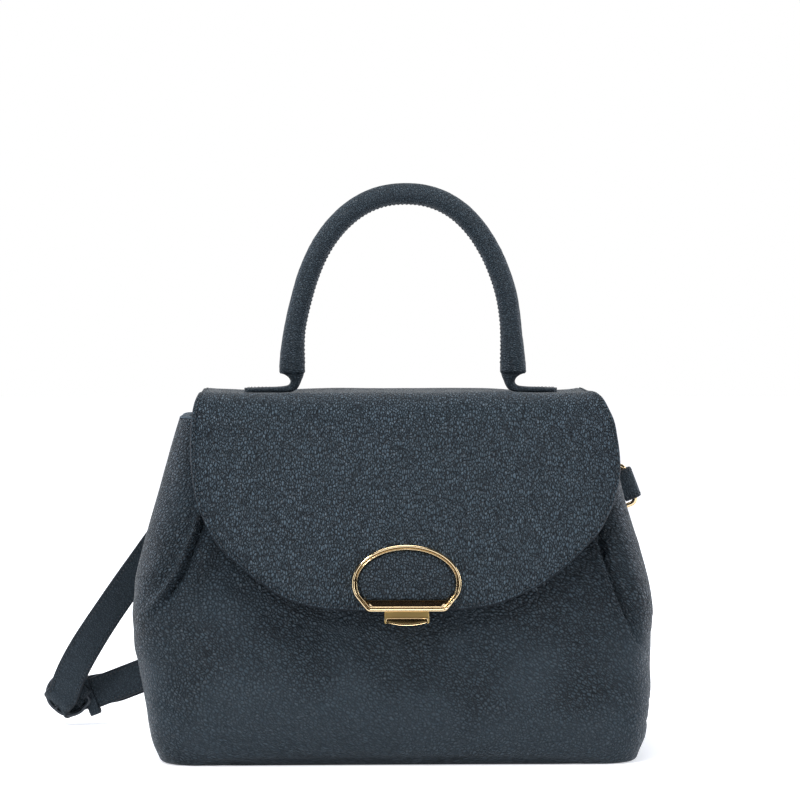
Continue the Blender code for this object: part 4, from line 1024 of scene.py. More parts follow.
def panel(name, outline, finish, spacing, relief, edge_step, insets):
    """A sheet of the flap cut to an outline: loops follow its edge and a grid fills it."""
    loop = even_loop(outline, edge_step)
    loops = [loop] + [inset_loop(loop, inset) for inset in insets]
    columns, lines = [np.arange(low + spacing / 2, high, spacing)
                      for low, high in zip(loop.min(axis=0), loop.max(axis=0))]
    fill = np.stack(np.meshgrid(columns, lines), axis=-1).reshape(-1, 2)
    fill = fill[inside_loop(fill, loop)]
    fill = fill[loop_distance(fill, loop[::3]) > insets[-1] + spacing * 0.45]
    flat = np.vstack(loops + [fill])
    count = len(loop)
    edges = [(number, (number + 1) % count) for number in range(count)]
    verts, _, faces, *_ = geometry.delaunay_2d_cdt([Vector(p) for p in flat], edges, [], 1, 1e-6)
    flat = rows_of(verts)
    point, _ = flap_place(flat[:, 0], flat[:, 1], relief(loop_distance(flat, loop), flat))
    mesh = bpy.data.meshes.new(name)
    mesh.from_pydata(point.tolist(), [], [tuple(face) for face in faces])
    corner = np.zeros(len(mesh.loops), np.int32)
    mesh.loops.foreach_get("vertex_index", corner)
    set_grain(mesh, flat[corner])
    middle = np.array([flat[list(face)].mean(axis=0) for face in faces])
    border = (loop_distance(middle, loop) < insets[0]).astype(np.int32)
    thing = new_object(name, mesh, finish)
    mesh.polygons.foreach_set("material_index", border)
    orient(thing, Vector((0.0, -0.2, 0.3)))
    return thing


# Distances from the flap's cut edge: the width of its rounding, its stitches and the crown beyond them
EDGE_ROUNDING = 0.0011
FLAP_SEW = 0.0023
FLAP_CROWN_AT = 0.0040
EDGE_FALL = 0.0007
FLAP_GROOVE = 0.00035
FLAP_GROOVE_WIDTH = 0.0006
FLAP_CROWN = 0.00015
FLAP_CROWN_WIDTH = 0.0010


def edge_relief(away):
    """A rounded cut edge, a groove under the stitches and a soft crown beyond them."""
    edge = -EDGE_FALL * (1 - smooth(away / EDGE_ROUNDING)) ** 2
    groove = FLAP_GROOVE * bump(away - FLAP_SEW, FLAP_GROOVE_WIDTH)
    return edge - groove + FLAP_CROWN * bump(away - FLAP_CROWN_AT, FLAP_CROWN_WIDTH)


FLAP_WAVE_SCALE = 22.0
FLAP_WAVE = 0.0005
FLAP_DENTS = (-0.080, 0.080)
FLAP_DENT = 0.0021
FLAP_DENT_BACK = 0.012
FLAP_DENT_SIZE = (0.020, 0.036)
FLAP_SWELL_EDGE = 0.01


def flap_swell(away, flat):
    """Waves of the flap's leather, and where the handle's feet press it in."""
    point, _ = flap_place(flat[:, 0], flat[:, 1])
    dent = sum(bump(point[:, 0] - x, FLAP_DENT_SIZE[0]) for x in FLAP_DENTS)
    dent = FLAP_DENT * dent * bump(point[:, 1] - HANDLE_Y - FLAP_DENT_BACK, FLAP_DENT_SIZE[1])
    return (FLAP_WAVE * noise_field(point, FLAP_WAVE_SCALE) - dent) * smooth(away / FLAP_SWELL_EDGE)


def outer_relief(away, flat):
    return edge_relief(away) + flap_swell(away, flat)


def inner_relief(away, flat):
    return edge_relief(away) * -0.4 - FLAP_LEATHER - GAP + flap_swell(away, flat)


FLAP_SEW_STEP = 0.0010
FLAP_SEW_SINK = 0.00018


def sew_flap(name, outline, body, kept):
    """Stitches along the kept part of the flap's edge."""
    loop = inset_loop(even_loop(outline, FLAP_SEW_STEP), FLAP_SEW)
    loop = np.roll(loop, -int(np.argmin(kept(loop))), axis=0)
    loop = loop[kept(loop)]
    run = flap_place(loop[:, 0], loop[:, 1], np.full(len(loop), -FLAP_SEW_SINK))
    ride(stitches(name, [run]), body, "flap_leather")


FLAP_SPACING = 0.0026
FLAP_EDGE_STEP = 0.0014
FLAP_INSETS = (0.0005, 0.0011, 0.0017, 0.0023, 0.0029, 0.0040)
FLAP_LINING_SPACING = 0.0045
FLAP_LINING_STEP = 0.0020
FLAP_LINING_INSETS = (0.0008, 0.0018, 0.0030)
FLAP_LINING_THICKNESS = 0.0008
FLAP_LINING_SHARE = 0.9985
# Along the flap from its hinge: where its stitches start, where those on the back end, and where its
# lining starts
FLAP_SEWN_FROM = 0.006
SEAM_SEWN_TO = -0.005
FLAP_LINED_FROM = 0.0015


def make_flap():
    """Flap leather from its seam on the back to its lip, its lining, and their stitches."""
    outline = flap_outline()
    flap = panel("flap_leather", outline, [FLAP_HIDE, EDGE], FLAP_SPACING, outer_relief,
                 FLAP_EDGE_STEP, FLAP_INSETS)
    thicken(flap, FLAP_LEATHER)
    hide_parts("flap_outer", "flap_seam_strip")
    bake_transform(flap)
    seam_v = float(np.interp(HINGE_Z, PROFILE[:SEAM_ROWS, 1], PROFILE_RUN[:SEAM_ROWS]))
    sew_flap("flap_stitches", outline, "flap", lambda loop: loop[:, 1] > seam_v + FLAP_SEWN_FROM)
    sew_flap("flap_seam_stitches", outline, "root", lambda loop: loop[:, 1] < seam_v + SEAM_SEWN_TO)
    outline = flap_outline(seam_v + FLAP_LINED_FROM) * (FLAP_LINING_SHARE, 1.0)
    lining = panel("flap_lining_leather", outline, [INNER_HIDE, EDGE], FLAP_LINING_SPACING, inner_relief,
                   FLAP_LINING_STEP, FLAP_LINING_INSETS)
    thicken(lining, FLAP_LINING_THICKNESS)
    ride(lining, "flap", "flap_leather", "flap_lining")


def orient(thing, outside):
    """Turn a sheet's faces towards a point outside it."""
    def change(shape):
        bmesh.ops.recalc_face_normals(shape, faces=shape.faces)
        towards = sum(face.calc_area() * face.normal.dot(outside - face.calc_center_median())
                      for face in shape.faces)
        if towards < 0:
            bmesh.ops.reverse_faces(shape, faces=shape.faces)

    edit(thing, change)


make_flap()

# Swept pieces

def sweep(name, rings, finish, closed_path=False, edge_columns=()):
    """A solid skin through closed rings. Edge columns take the second finish."""
    rings = np.asarray(rings, float)
    if closed_path:
        rings = np.concatenate([rings, rings[:1]])
    around = np.linalg.norm(np.roll(rings, -1, axis=1) - rings, axis=-1).mean(axis=0)
    u = np.concatenate([[0.0], np.cumsum(around)])
    v = lengths_along(rings.mean(axis=1))
    grain = np.stack(np.meshgrid(u, v), axis=-1)
    thing = grid(name, rings, grain, finish, closed=True, caps=not closed_path)
    if len(edge_columns):
        columns = rings.shape[1]
        chosen = np.zeros(len(thing.data.polygons), np.int32)
        body = (len(rings) - 1) * columns
        chosen[:body] = np.tile(np.isin(np.arange(columns), edge_columns), len(rings) - 1)
        chosen[body:] = 1
        thing.data.polygons.foreach_set("material_index", chosen)

    def change(shape):
        if closed_path:
            bmesh.ops.remove_doubles(shape, verts=shape.verts, dist=1e-6)
        bmesh.ops.recalc_face_normals(shape, faces=shape.faces)

    edit(thing, change)
    thing.data.set_sharp_from_angle(angle=math.radians(50.0))
    return thing


def planar_tube(name, points, plane, radii, finish, sides, closed=False, shape=1.0):
    """A round bar bent in one plane. Its shape is a swell for each place round each ring."""
    points = np.asarray(points, float)
    plane = np.asarray(plane, float)
    reach = np.broadcast_to(radii, (len(points),))[:, None] * shape * np.ones(sides)
    side = unit(np.cross(directions(points, closed), plane))
    angles = full_turn(sides)
    rings = (points[:, None, :] + (reach * np.cos(angles))[..., None] * side[:, None, :]
             + (reach * np.sin(angles))[..., None] * plane)
    return sweep(name, rings, finish, closed_path=closed)


SEW = 0.0021
SEW_GROOVE = 0.00022
SEW_GROOVE_WIDTH = 0.0006
FACE_CROWN = 0.06
EDGE_BULGE = 0.8
EDGE_STEPS = 5
FACE_PLACES = (0.2, 0.5, 0.70, 0.76, 0.82, 0.88, 0.94, 1.0)


def band_section(width, thickness, sewn=True):
    """Cross-section of a strap: two faces with stitch grooves, and rounded painted edges."""
    rise = thickness / 2
    flat = width / 2 - rise * EDGE_BULGE
    across = np.concatenate([-np.array(FACE_PLACES)[::-1], FACE_PLACES]) * flat
    groove = SEW_GROOVE * bump(np.abs(across) - (width / 2 - SEW), SEW_GROOVE_WIDTH) if sewn else 0.0
    face = rise - groove + rise * FACE_CROWN * (1 - (across / flat) ** 2)
    angles = np.linspace(math.pi / 2, -math.pi / 2, EDGE_STEPS + 2)[1:-1]
    right = np.stack([flat + rise * EDGE_BULGE * np.cos(angles), rise * np.sin(angles)], axis=1)
    top = np.stack([across, face], axis=1)
    half = len(top) + EDGE_STEPS
    edges = [corner + number for corner in (len(top) - 1, half + len(top) - 1)
             for number in range(EDGE_STEPS + 1)]
    return np.vstack([top, right, -top, -right]), edges


def laid(shape, centres, across, normal):
    """A cross-section set at each of a strap's stations."""
    return (centres[:, None, :] + across[:, None, :] * shape[None, :, 0, None]
            + normal[:, None, :] * shape[None, :, 1, None])


def band(name, centres, across, thickness, keep=slice(None)):
    """A leather strap through stations, and the runs of its stitches on both edges of both faces."""
    along = directions(centres)
    across = unit(across)
    across = unit(across - along * np.sum(along * across, axis=1, keepdims=True))
    normal = np.cross(along, across)
    shape, edges = band_section(STRAP_WIDTH, thickness)
    piece = sweep(name, laid(shape, centres, across, normal), [STRAP_HIDE, EDGE], edge_columns=edges)
    runs = []
    for face in (1, -1):
        for side in (1, -1):
            sewn = (thickness / 2 - SEW_GROOVE * 0.6) * face
            points = centres + across * side * (STRAP_WIDTH / 2 - SEW) + normal * sewn
            runs.append((points[keep], (normal * face)[keep]))
    return piece, runs


# Handle

HANDLE_ROWS = 300
HANDLE_SIDES = 48
HANDLE_FLARE_LENGTH = 0.030
HANDLE_INSET = 0.0006
HANDLE_PLACES = 1600
# The arch leans to the right above these heights: height, over how much more it grows, and how far
HANDLE_LEANS = ((0.234, 0.032, 0.0011), (0.290, 0.030, 0.0006))
# The cover wrinkles most at the two bends and at the feet
WRINKLE_AT = (0.27, 0.73)
WRINKLE_REACH = 0.035
WRINKLE_LEAST = 0.35
WRINKLE_FOOT = 0.016
WRINKLE = 0.022
WRINKLE_AROUND = 1.3
WRINKLE_ALONG = 330.0
SLOW_WAVE = 0.02
SLOW_AROUND = 0.8
SLOW_ALONG = 60.0
SEAM_DEPTH = 0.07
SEAM_HALF = 0.11
END_ROUNDING = 0.0011
END_SHRINK = 0.10
HANDLE_SEW_TILT = 0.20
HANDLE_SEW_SEAT = 0.985
HANDLE_THREAD = 0.0003


def handle_path():
    """The handle's arch, evenly stepped from its left foot to its right, with the places along it."""
    angle = math.pi * np.linspace(0, 1, HANDLE_PLACES)
    power = 2 / HANDLE_POWER
    rise = HANDLE_TOP_Z - HANDLE_RADIUS - HANDLE_END_Z
    x = -np.sign(np.cos(angle)) * np.abs(np.cos(angle)) ** power * (HANDLE_HALF_SPAN - HANDLE_INSET)
    z = HANDLE_END_Z + rise * np.clip(np.sin(angle), 0.0, 1.0) ** power
    x += sum(lean * smooth((z - low) / over) for low, over, lean in HANDLE_LEANS)
    chain = np.column_stack([x, np.full(len(x), HANDLE_Y), z])
    run = np.linspace(0.0, lengths_along(chain)[-1], HANDLE_ROWS)
    return resample(chain, run), run


def make_handle():
    """The handle's leather tube, wrinkled where it bends, with a sewn seam under its arch."""
    points, run = handle_path()
    from_end = np.minimum(run, run[-1] - run)
    radii = HANDLE_RADIUS + (HANDLE_FLARE - HANDLE_RADIUS) * (1 - smooth(from_end / HANDLE_FLARE_LENGTH))
    angles = full_turn(HANDLE_SIDES)
    swell = np.ones((HANDLE_ROWS, HANDLE_SIDES))
    bend = sum(bump(run - run[-1] * share, WRINKLE_REACH) for share in WRINKLE_AT)
    wrinkle = WRINKLE_LEAST + (1 - WRINKLE_LEAST) * bend + np.exp(-from_end / WRINKLE_FOOT)
    for row in range(HANDLE_ROWS):
        for side, angle in enumerate(angles):
            x, y = math.cos(angle) * WRINKLE_AROUND, math.sin(angle) * WRINKLE_AROUND
            fine = noise.fractal(Vector((x, y, run[row] * WRINKLE_ALONG)), 1.0, 2.0, 3)
            slow = noise.noise(Vector((x * SLOW_AROUND, y * SLOW_AROUND, run[row] * SLOW_ALONG + 9.0)))
            swell[row, side] += fine * WRINKLE * wrinkle[row] + slow * SLOW_WAVE
    swell -= SEAM_DEPTH * bump(angles - math.pi, SEAM_HALF)
    closing = np.clip(from_end / END_ROUNDING, 0.0, 1.0)
    swell *= (1 - END_SHRINK + END_SHRINK * np.sqrt(1 - (1 - closing) ** 2))[:, None]
    tube = planar_tube("handle_tube", points, OUTWARD, radii, [HANDLE_HIDE, EDGE], HANDLE_SIDES, shape=swell)
    ride(tube, "handle", "handle_leather", "handle_cover")
    inward = unit(np.cross(OUTWARD, directions(points)))
    kept = slice(6, -6)
    runs = []
    for tilt in (-HANDLE_SEW_TILT, HANDLE_SEW_TILT):
        normals = inward * math.cos(tilt) + np.array(OUTWARD) * math.sin(tilt)
        runs.append(((points + normals * (radii * HANDLE_SEW_SEAT)[:, None])[kept], normals[kept]))
    ride(stitches("handle_stitches", runs, radius=HANDLE_THREAD), "handle", "handle_leather")


# Stations of a handle's foot from its neck to its tab: its inner line out and up, its outer line out
# and up, its depth in y, and how square its section is
FOOT_LINES = ((0.0572, 0.2200, 0.0700, 0.2200, 0.0128, 2.0), (0.0570, 0.2176, 0.0704, 0.2174, 0.0134, 2.0),
              (0.0575, 0.2154, 0.0680, 0.2162, 0.0130, 2.2), (0.0585, 0.2130, 0.0659, 0.2146, 0.0124, 2.5),
              (0.0597, 0.2102, 0.0650, 0.2126, 0.0121, 2.9), (0.0612, 0.2080, 0.0655, 0.2111, 0.0124, 3.2),
              (0.0636, 0.2067, 0.0668, 0.2102, 0.0136, 3.6), (0.0672, 0.2062, 0.0692, 0.2097, 0.0150, 4.0),
              (0.0725, 0.2061, 0.0732, 0.2094, 0.0160, 4.5))
FOOT_BETWEEN = 4
FOOT_SIDES = 32
TAB_STEPS = 16
TAB_THINNING = 0.0006
TAB_SEW = 0.0018
TAB_SEW_FROM = 0.0715
TAB_STITCH = {"pitch": 0.0021, "radius": 0.00013}


def foot_stations(tip):
    """The foot's lines read between its stations, and its flat tab out to a round tip."""
    columns = [list(enumerate(column)) for column in zip(*FOOT_LINES)]
    stations = [[read_shares(column, place / FOOT_BETWEEN) for column in columns]
                for place in range(FOOT_BETWEEN * (len(FOOT_LINES) - 1))]
    start, low, _, high, deep, power = FOOT_LINES[-1]
    for step in range(TAB_STEPS + 1):
        share = math.sin(math.pi / 2 * step / TAB_STEPS)
        x = start + (tip - start) * share
        rounding = max((x - (tip - TAB_DEPTH / 2)) / (TAB_DEPTH / 2), 0.0)
        wide = deep * math.sqrt(max(1 - rounding**2, 0.004))
        stations.append((x, low, x, high - TAB_THINNING * share, wide, power))
    return stations


def make_handle_foot(name, side, reach):
    """A handle's neck and the flat tab that it bends into, sewn on the flap."""
    tip = HANDLE_HALF_SPAN + reach
    cosine, sine = [function(full_turn(FOOT_SIDES)) for function in (np.cos, np.sin)]
    rings = []
    for inner_x, inner_z, outer_x, outer_z, wide, power in foot_stations(tip):
        inner = np.array((side * inner_x, HANDLE_Y, inner_z))
        outer = np.array((side * outer_x, HANDLE_Y, outer_z))
        across, deep = [np.sign(part) * np.abs(part) ** (2 / power) for part in (cosine, sine)]
        rings.append((inner + outer) / 2 + across[:, None] * (outer - inner) / 2
                     + deep[:, None] * np.array(OUTWARD) * wide / 2)
    foot = sweep("handle_foot_" + name, rings, HANDLE_HIDE)
    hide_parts("handle_neck_" + name, "handle_tab_" + name)
    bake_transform(foot)
    half = TAB_DEPTH / 2 - TAB_SEW
    centre = tip - TAB_DEPTH / 2
    edge = [(centre + half * math.sin(a), -half * math.cos(a)) for a in np.linspace(0.0, math.pi, 24)]
    edge = [(TAB_SEW_FROM, -half)] + edge + [(TAB_SEW_FROM, half)]
    top = FOOT_LINES[-1][3] - 0.0003
    chain = np.array([(side * x, HANDLE_Y + y, top) for x, y in edge])
    ups = np.tile((0.0, 0.0, 1.0), (len(chain), 1))
    ride(stitches("handle_tab_stitches_" + name, [(chain, ups)], **TAB_STITCH), "flap", "handle_leather")


make_handle()
make_handle_foot("left", -1, 0.027)
make_handle_foot("right", 1, 0.025)

# Strap

DOWN_RIGHT = Vector((1.0, 0.0, -1.0))
RING_TAB_LEATHER = 0.0012
RING_TAB_LENGTH = 0.022
RING_TAB_CLOSE = 0.012
RING_HALF = 0.0106 + RING_WIRE
RING_CORNER = 0.0035
LOOP_STITCH_END = 0.0212
LOOSE_GAP = 0.0008
LOOP_LEFT_TAB = 0.0105
LOOP_RIGHT_TAB = 0.0060
KNEE = (-0.193, 0.054)
FOLD = Vector((-0.2014, 0.086, 0.0196))
BUCKLE_WIRE = 0.0013
BUCKLE_HALF = 0.0113 + BUCKLE_WIRE
BUCKLE_OUT = 0.0120
BUCKLE_IN = 0.0065
BUCKLE_CORNERS = (0.0030, 0.0110)
TONGUE_RADIUS = 0.0009
UPPER_STEPS = 100
UPPER_CUT = 28
LOWER_BOW = 0.012
TAIL_LENGTH = 0.250
RUN_FROM = 0.011
RUN_SPLIT = 0.86
KEEPER_WIDTH = 0.0068
KEEPER_THICKNESS = 0.0014
KEEPER_PLACE = 0.0108
KEEPER_CORNER = 0.0016
TWIST = math.radians(20.0)
SLIP = 0.0016
LOWER_DROP = 0.0055
FOLD_ASIDE = 0.0020
FOLD_SLACK = 0.0036
FOLD_LEAST_SLACK = 0.3
# Shares of the upper run: where it starts to turn to the fold, where its twist has come and where it goes
UPPER_TURN_FROM = 0.72
TWISTED_BY = 0.2
TWIST_LEAVES = (0.40, 0.40)
# Where the lower run stops hanging, as a share of it and over how much, and where round the fold it starts
HANG_LEAVES = (0.35, 0.4)
SAG_ANGLES = (1.2, 1.9)
LOWER_TURN = 0.02
TURN = RING_WIRE + GAP + STRAP_THICKNESS / 2
SHORT_LAYER = BUCKLE_WIRE + GAP + STRAP_THICKNESS / 2
FOLD_RADIUS = SHORT_LAYER + STRAP_THICKNESS + GAP
TAB_LIFT = RING_WIRE + GAP + RING_TAB_LEATHER + LOOSE_GAP


def ring_place(side):
    """A ring's bar: its origin, the way the ring points and the bar's direction, from its joint."""
    found = [one for one in frame["joints"] if one["name"] == "ring_" + side + "_swing"][0]
    bar = Vector(found["axis"]).normalized()
    return Vector(found["pos_m"]), OUTWARD.cross(bar).normalized(), bar


def across_of(way):
    """The level direction across a way, on its lower right side."""
    across = Vector((-way.z, 0.0, way.x)).normalized()
    return across if across.dot(DOWN_RIGHT) > 0 else -across


# The strap's route: off the left ring, over a knee to the fold at the buckle, and back to the right ring
RING_PLACES = {side: ring_place(side) for side in ("left", "right")}
LEFT_RING, LEFT_POINTING, LEFT_BAR = RING_PLACES["left"]
RIGHT_RING, RIGHT_POINTING, RIGHT_BAR = RING_PLACES["right"]
LEFT_END = LEFT_RING + LEFT_POINTING * (RING_LENGTH + LOOP_STITCH_END) + OUTWARD * TURN
OVER_TAB = RIGHT_RING + RIGHT_POINTING * TAB_LIFT + OUTWARD * (TAB_LIFT + STRAP_THICKNESS / 2)
LOWER_FROM = FOLD + OUTWARD * SHORT_LAYER
RUN = OVER_TAB - LOWER_FROM
RUN_STOP = RUN.length - STRAP_WIDTH
LOWER_ACROSS = across_of(RUN)
FRONT = FOLD - OUTWARD * FOLD_RADIUS
KNEE_PLACE = Vector((KNEE[0], (FRONT.y + LEFT_END.y) / 2, KNEE[1]))
FOLD_LINE = (across_of(FRONT - KNEE_PLACE) + LOWER_ACROSS).normalized()
BEYOND = Vector((FOLD_LINE.z, 0.0, -FOLD_LINE.x))
ASIDE = FOLD_LINE * -FOLD_ASIDE
BEHIND = OUTWARD * (FOLD_RADIUS - SHORT_LAYER)


def arc_loop(spans, half, corners, steps=10):
    """A rounded rectangle in a ring's own plane, as places along and across it."""
    points = []
    for number in range(4):
        far = number in (1, 2)
        along = spans[1] if far else spans[0]
        radius = corners[1] if far else corners[0]
        side = -1 if number < 2 else 1
        middle = (along - radius if far else along + radius, side * (half - radius))
        for step in range(steps + 1):
            angle = math.pi + math.pi / 2 * (number + step / steps)
            points.append((middle[0] + radius * math.cos(angle), middle[1] + radius * math.sin(angle)))
    return points


def make_ring(name):
    """Polished square ring and the leather tab that holds its bar."""
    origin, pointing, bar = RING_PLACES[name]
    loop = arc_loop((0.0, RING_LENGTH), RING_HALF, (RING_CORNER, RING_CORNER))
    points = [origin + pointing * along + bar * across for along, across in loop]
    ring = planar_tube("ring_wire_" + name, points, OUTWARD, RING_WIRE, GOLD, 20, closed=True)
    ride(ring, "ring_" + name, "gold_metal", "ring_" + name)
    wrap = RING_WIRE + GAP + RING_TAB_LEATHER / 2
    root = origin - pointing * RING_TAB_LENGTH
    root.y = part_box("ring_tab_" + name)[0].y + RING_TAB_LEATHER / 2
    sewn = OUTWARD * (RING_TAB_LEATHER + GAP)
    under = origin - OUTWARD * wrap
    stations = [root.lerp(under, share) for share in np.linspace(0.0, 1.0, 10)[:-1]]
    for angle in np.linspace(-math.pi / 2, math.pi / 2, 16):
        stations.append(origin + pointing * wrap * math.cos(angle) + OUTWARD * wrap * math.sin(angle))
    closing = under.lerp(root, RING_TAB_CLOSE / RING_TAB_LENGTH) + sewn
    top = stations[-1]
    for share in np.linspace(0.0, 1.0, 12)[1:]:
        spot = top.lerp(closing, share)
        spot.y = top.y + (closing.y - top.y) * eased(share)
        stations.append(spot)
    stations += [closing.lerp(root + sewn, share) for share in np.linspace(0.0, 1.0, 8)[1:]]
    across = np.tile(tuple(bar), (len(stations), 1))
    sewn_on = slice(-8, None)
    tab, runs = band("ring_tab_leather_" + name, rows_of(stations), across, RING_TAB_LEATHER, sewn_on)
    ride(tab, "root", "strap_leather", "ring_tab_" + name)
    ride(stitches("ring_tab_stitches_" + name, runs), "root", "strap_leather")


def evenly(stations, step=0.0020):
    """Stations respaced evenly, with small kinks eased."""
    both = np.array([(*centre, *across) for centre, across in stations])
    running = lengths_along(both[:, :3])
    spaced = read_rows(np.linspace(0.0, running[-1], int(running[-1] / step) + 1), running, both)
    return spaced[:, :3], spaced[:, 3:]


def loop_stations(side, tab, way):
    """Stations of a strap's end folded round a ring: a way of 1 leaves it outwards, -1 inwards."""
    origin, pointing, bar = RING_PLACES[side]
    stations = []
    for share in np.linspace(0.0, 1.0, 6)[:-1]:
        stations.append((origin + pointing * (RING_LENGTH + way * tab * (1 - share)) - OUTWARD * TURN, bar))
    for share in np.linspace(0.0, 1.0, 16):
        angle = -math.pi / 2 - way * math.pi * share
        out = pointing * math.cos(angle) + OUTWARD * math.sin(angle)
        stations.append((origin + pointing * RING_LENGTH + out * TURN, bar))
    return stations


def sewn_band(name, stations, node, blend=None):
    """A strap piece with its stitches, riding on the bag, or baked in place and left unattached when a blend
    is given; the blend's bodies and places are not used.
    """
    piece, runs = band(name, *evenly(stations), STRAP_THICKNESS)
    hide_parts(node)
    for thing in (piece, stitches(name + "_stitches", runs)):
        if blend:
            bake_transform(thing)
        else:
            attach(thing, "root")


def upper_run():
    """Stations from the left ring's strap end down to the front of the fold."""
    stations = []
    for share in np.linspace(0.0, 1.0, UPPER_STEPS):
        first = LEFT_END.lerp(KNEE_PLACE, share)
        second = KNEE_PLACE.lerp(FRONT, share)
        turned = across_of(first - second).lerp(FOLD_LINE, float(fade_in(share, UPPER_TURN_FROM)))
        twist = TWIST * eased(share / TWISTED_BY) * (1 - step_between(share, TWIST_LEAVES))
        stations.append((first.lerp(second, share), turned * math.cos(twist) + OUTWARD * math.sin(twist)))
    return stations


def lower_run(distance):
    """A place on the lower run's front layer, measured from the buckle towards the right ring."""
    share = distance / RUN.length
    bow = OUTWARD * LOWER_BOW * math.sin(math.pi * share)
    hang = LOWER_ACROSS * LOWER_DROP * (1 - step_between(share, HANG_LEAVES))
    return LOWER_FROM + RUN * share + bow + hang


def turned_across(distance):
    """How far the strap has turned from the fold's line to the lower run's, and its direction across."""
    share = step_between(distance, (RUN_FROM, LOWER_TURN))
    return share, FOLD_LINE.lerp(LOWER_ACROSS, share)


def make_upper_end(upper):
    """The strap's end sewn round the left ring."""
    near_ring = LEFT_RING + LEFT_POINTING * (RING_LENGTH + 0.006) + OUTWARD * TURN
    leg = [(near_ring.lerp(LEFT_END, share), LEFT_BAR.lerp(upper[0][1], eased(share)))
           for share in np.linspace(0.0, 1.0, 12)[:-1]]
    stations = loop_stations("left", LOOP_LEFT_TAB, 1) + leg + upper[:UPPER_CUT + 1]
    end = LEFT_RING + LEFT_POINTING * (RING_LENGTH + 0.004)
    sewn_band("strap_upper_end", stations, "strap_loop_left",
              blend=("root", "ring_left", tuple(upper[UPPER_CUT][0]), tuple(end)))


def make_long_strap(upper):
    """The long part: down to the fold, round it, and back behind the lower run to its tail."""
    slack = ASIDE + BEYOND * FOLD_SLACK * FOLD_LEAST_SLACK
    hanging = upper[UPPER_CUT:]
    stations = [(centre + slack * eased(number / (len(hanging) - 1)), across)
                for number, (centre, across) in enumerate(hanging)]
    for angle in np.linspace(0.0, math.pi, 30):
        loose = FOLD_SLACK * (FOLD_LEAST_SLACK + (1 - FOLD_LEAST_SLACK) * math.sin(angle))
        reach = BEYOND * (FOLD_RADIUS * math.sin(angle) + loose)
        sag = LOWER_ACROSS * LOWER_DROP * step_between(angle, SAG_ANGLES)
        stations.append((FOLD + ASIDE + sag - OUTWARD * FOLD_RADIUS * math.cos(angle) + reach, FOLD_LINE))
    for distance in np.linspace(RUN_FROM, TAIL_LENGTH, 120):
        share, across = turned_across(distance)
        drop = LOWER_ACROSS * SLIP * share + ASIDE * (1 - share)
        stations.append((lower_run(distance) + BEHIND + drop, across))
    sewn_band("strap_long_leather", stations, "strap_long")


def make_short_strap():
    """The short part: sewn round the buckle's bar, then along the lower run."""
    bar = FOLD - BEYOND * BUCKLE_IN
    stations = [(bar - BEYOND * 0.004 - OUTWARD * SHORT_LAYER, FOLD_LINE)]
    for angle in np.linspace(0.0, math.pi, 20):
        out = BEYOND * math.sin(angle) - OUTWARD * math.cos(angle)
        stations.append((bar + out * SHORT_LAYER, FOLD_LINE))
    for distance in np.linspace(RUN_FROM, RUN_STOP * RUN_SPLIT, 140):
        stations.append((lower_run(distance), turned_across(distance)[1]))
    sewn_band("strap_short_leather", stations, "strap_short")


def make_lower_end():
    """The lower run's end: over the right ring's tab and round the ring."""
    bar = -RIGHT_BAR
    stations = [(lower_run(distance), LOWER_ACROSS)
                for distance in np.linspace(RUN_STOP * RUN_SPLIT, RUN_STOP, 24)]
    for share in np.linspace(0.0, 1.0, 12)[1:]:
        stations.append((lower_run(RUN_STOP).lerp(OVER_TAB, share), LOWER_ACROSS.lerp(bar, eased(share))))
    ring_far = RIGHT_RING + RIGHT_POINTING * RING_LENGTH + OUTWARD * TURN
    for share in np.linspace(0.0, 1.0, 12)[1:-1]:
        centre = OVER_TAB.lerp(ring_far, share)
        centre.y = OVER_TAB.y + (ring_far.y - OVER_TAB.y) * eased(share * 1.3)
        stations.append((centre, bar))
    stations += [(centre, bar) for centre, _ in loop_stations("right", LOOP_RIGHT_TAB, -1)[::-1]]
    start = RIGHT_RING - RIGHT_POINTING * 0.002 + OUTWARD * TAB_LIFT
    end = RIGHT_RING + RIGHT_POINTING * 0.010 + OUTWARD * TAB_LIFT
    sewn_band("strap_lower_end", stations, "strap_loop_right",
              blend=("root", "ring_right", tuple(start), tuple(end)))


def make_buckle():
    """The buckle's frame at the fold and its tongue."""
    loop = arc_loop((-BUCKLE_IN, BUCKLE_OUT), BUCKLE_HALF, BUCKLE_CORNERS, steps=14)
    points = [FOLD + BEYOND * along + FOLD_LINE * across for along, across in loop]
    buckle = planar_tube("buckle_frame", points, OUTWARD, BUCKLE_WIRE, DARK_METAL, 18, closed=True)
    ride(buckle, "root", "dark_metal", "strap_buckle")
    wrap_face = BUCKLE_IN - SHORT_LAYER - STRAP_THICKNESS / 2
    start = FOLD - BEYOND * (wrap_face - GAP - TONGUE_RADIUS)
    end = FOLD + BEYOND * BUCKLE_OUT - OUTWARD * (BUCKLE_WIRE + GAP + TONGUE_RADIUS)
    shares = np.linspace(0.0, 1.0, 20)
    radii = TONGUE_RADIUS * np.sqrt(np.clip(1 - (2 * shares - 1) ** 8, 0.05, 1.0))
    points = [start.lerp(end, share) for share in shares]
    tongue = planar_tube("buckle_tongue", points, FOLD_LINE, radii, DARK_METAL, 14)
    ride(tongue, "root", "dark_metal", "buckle_prong")


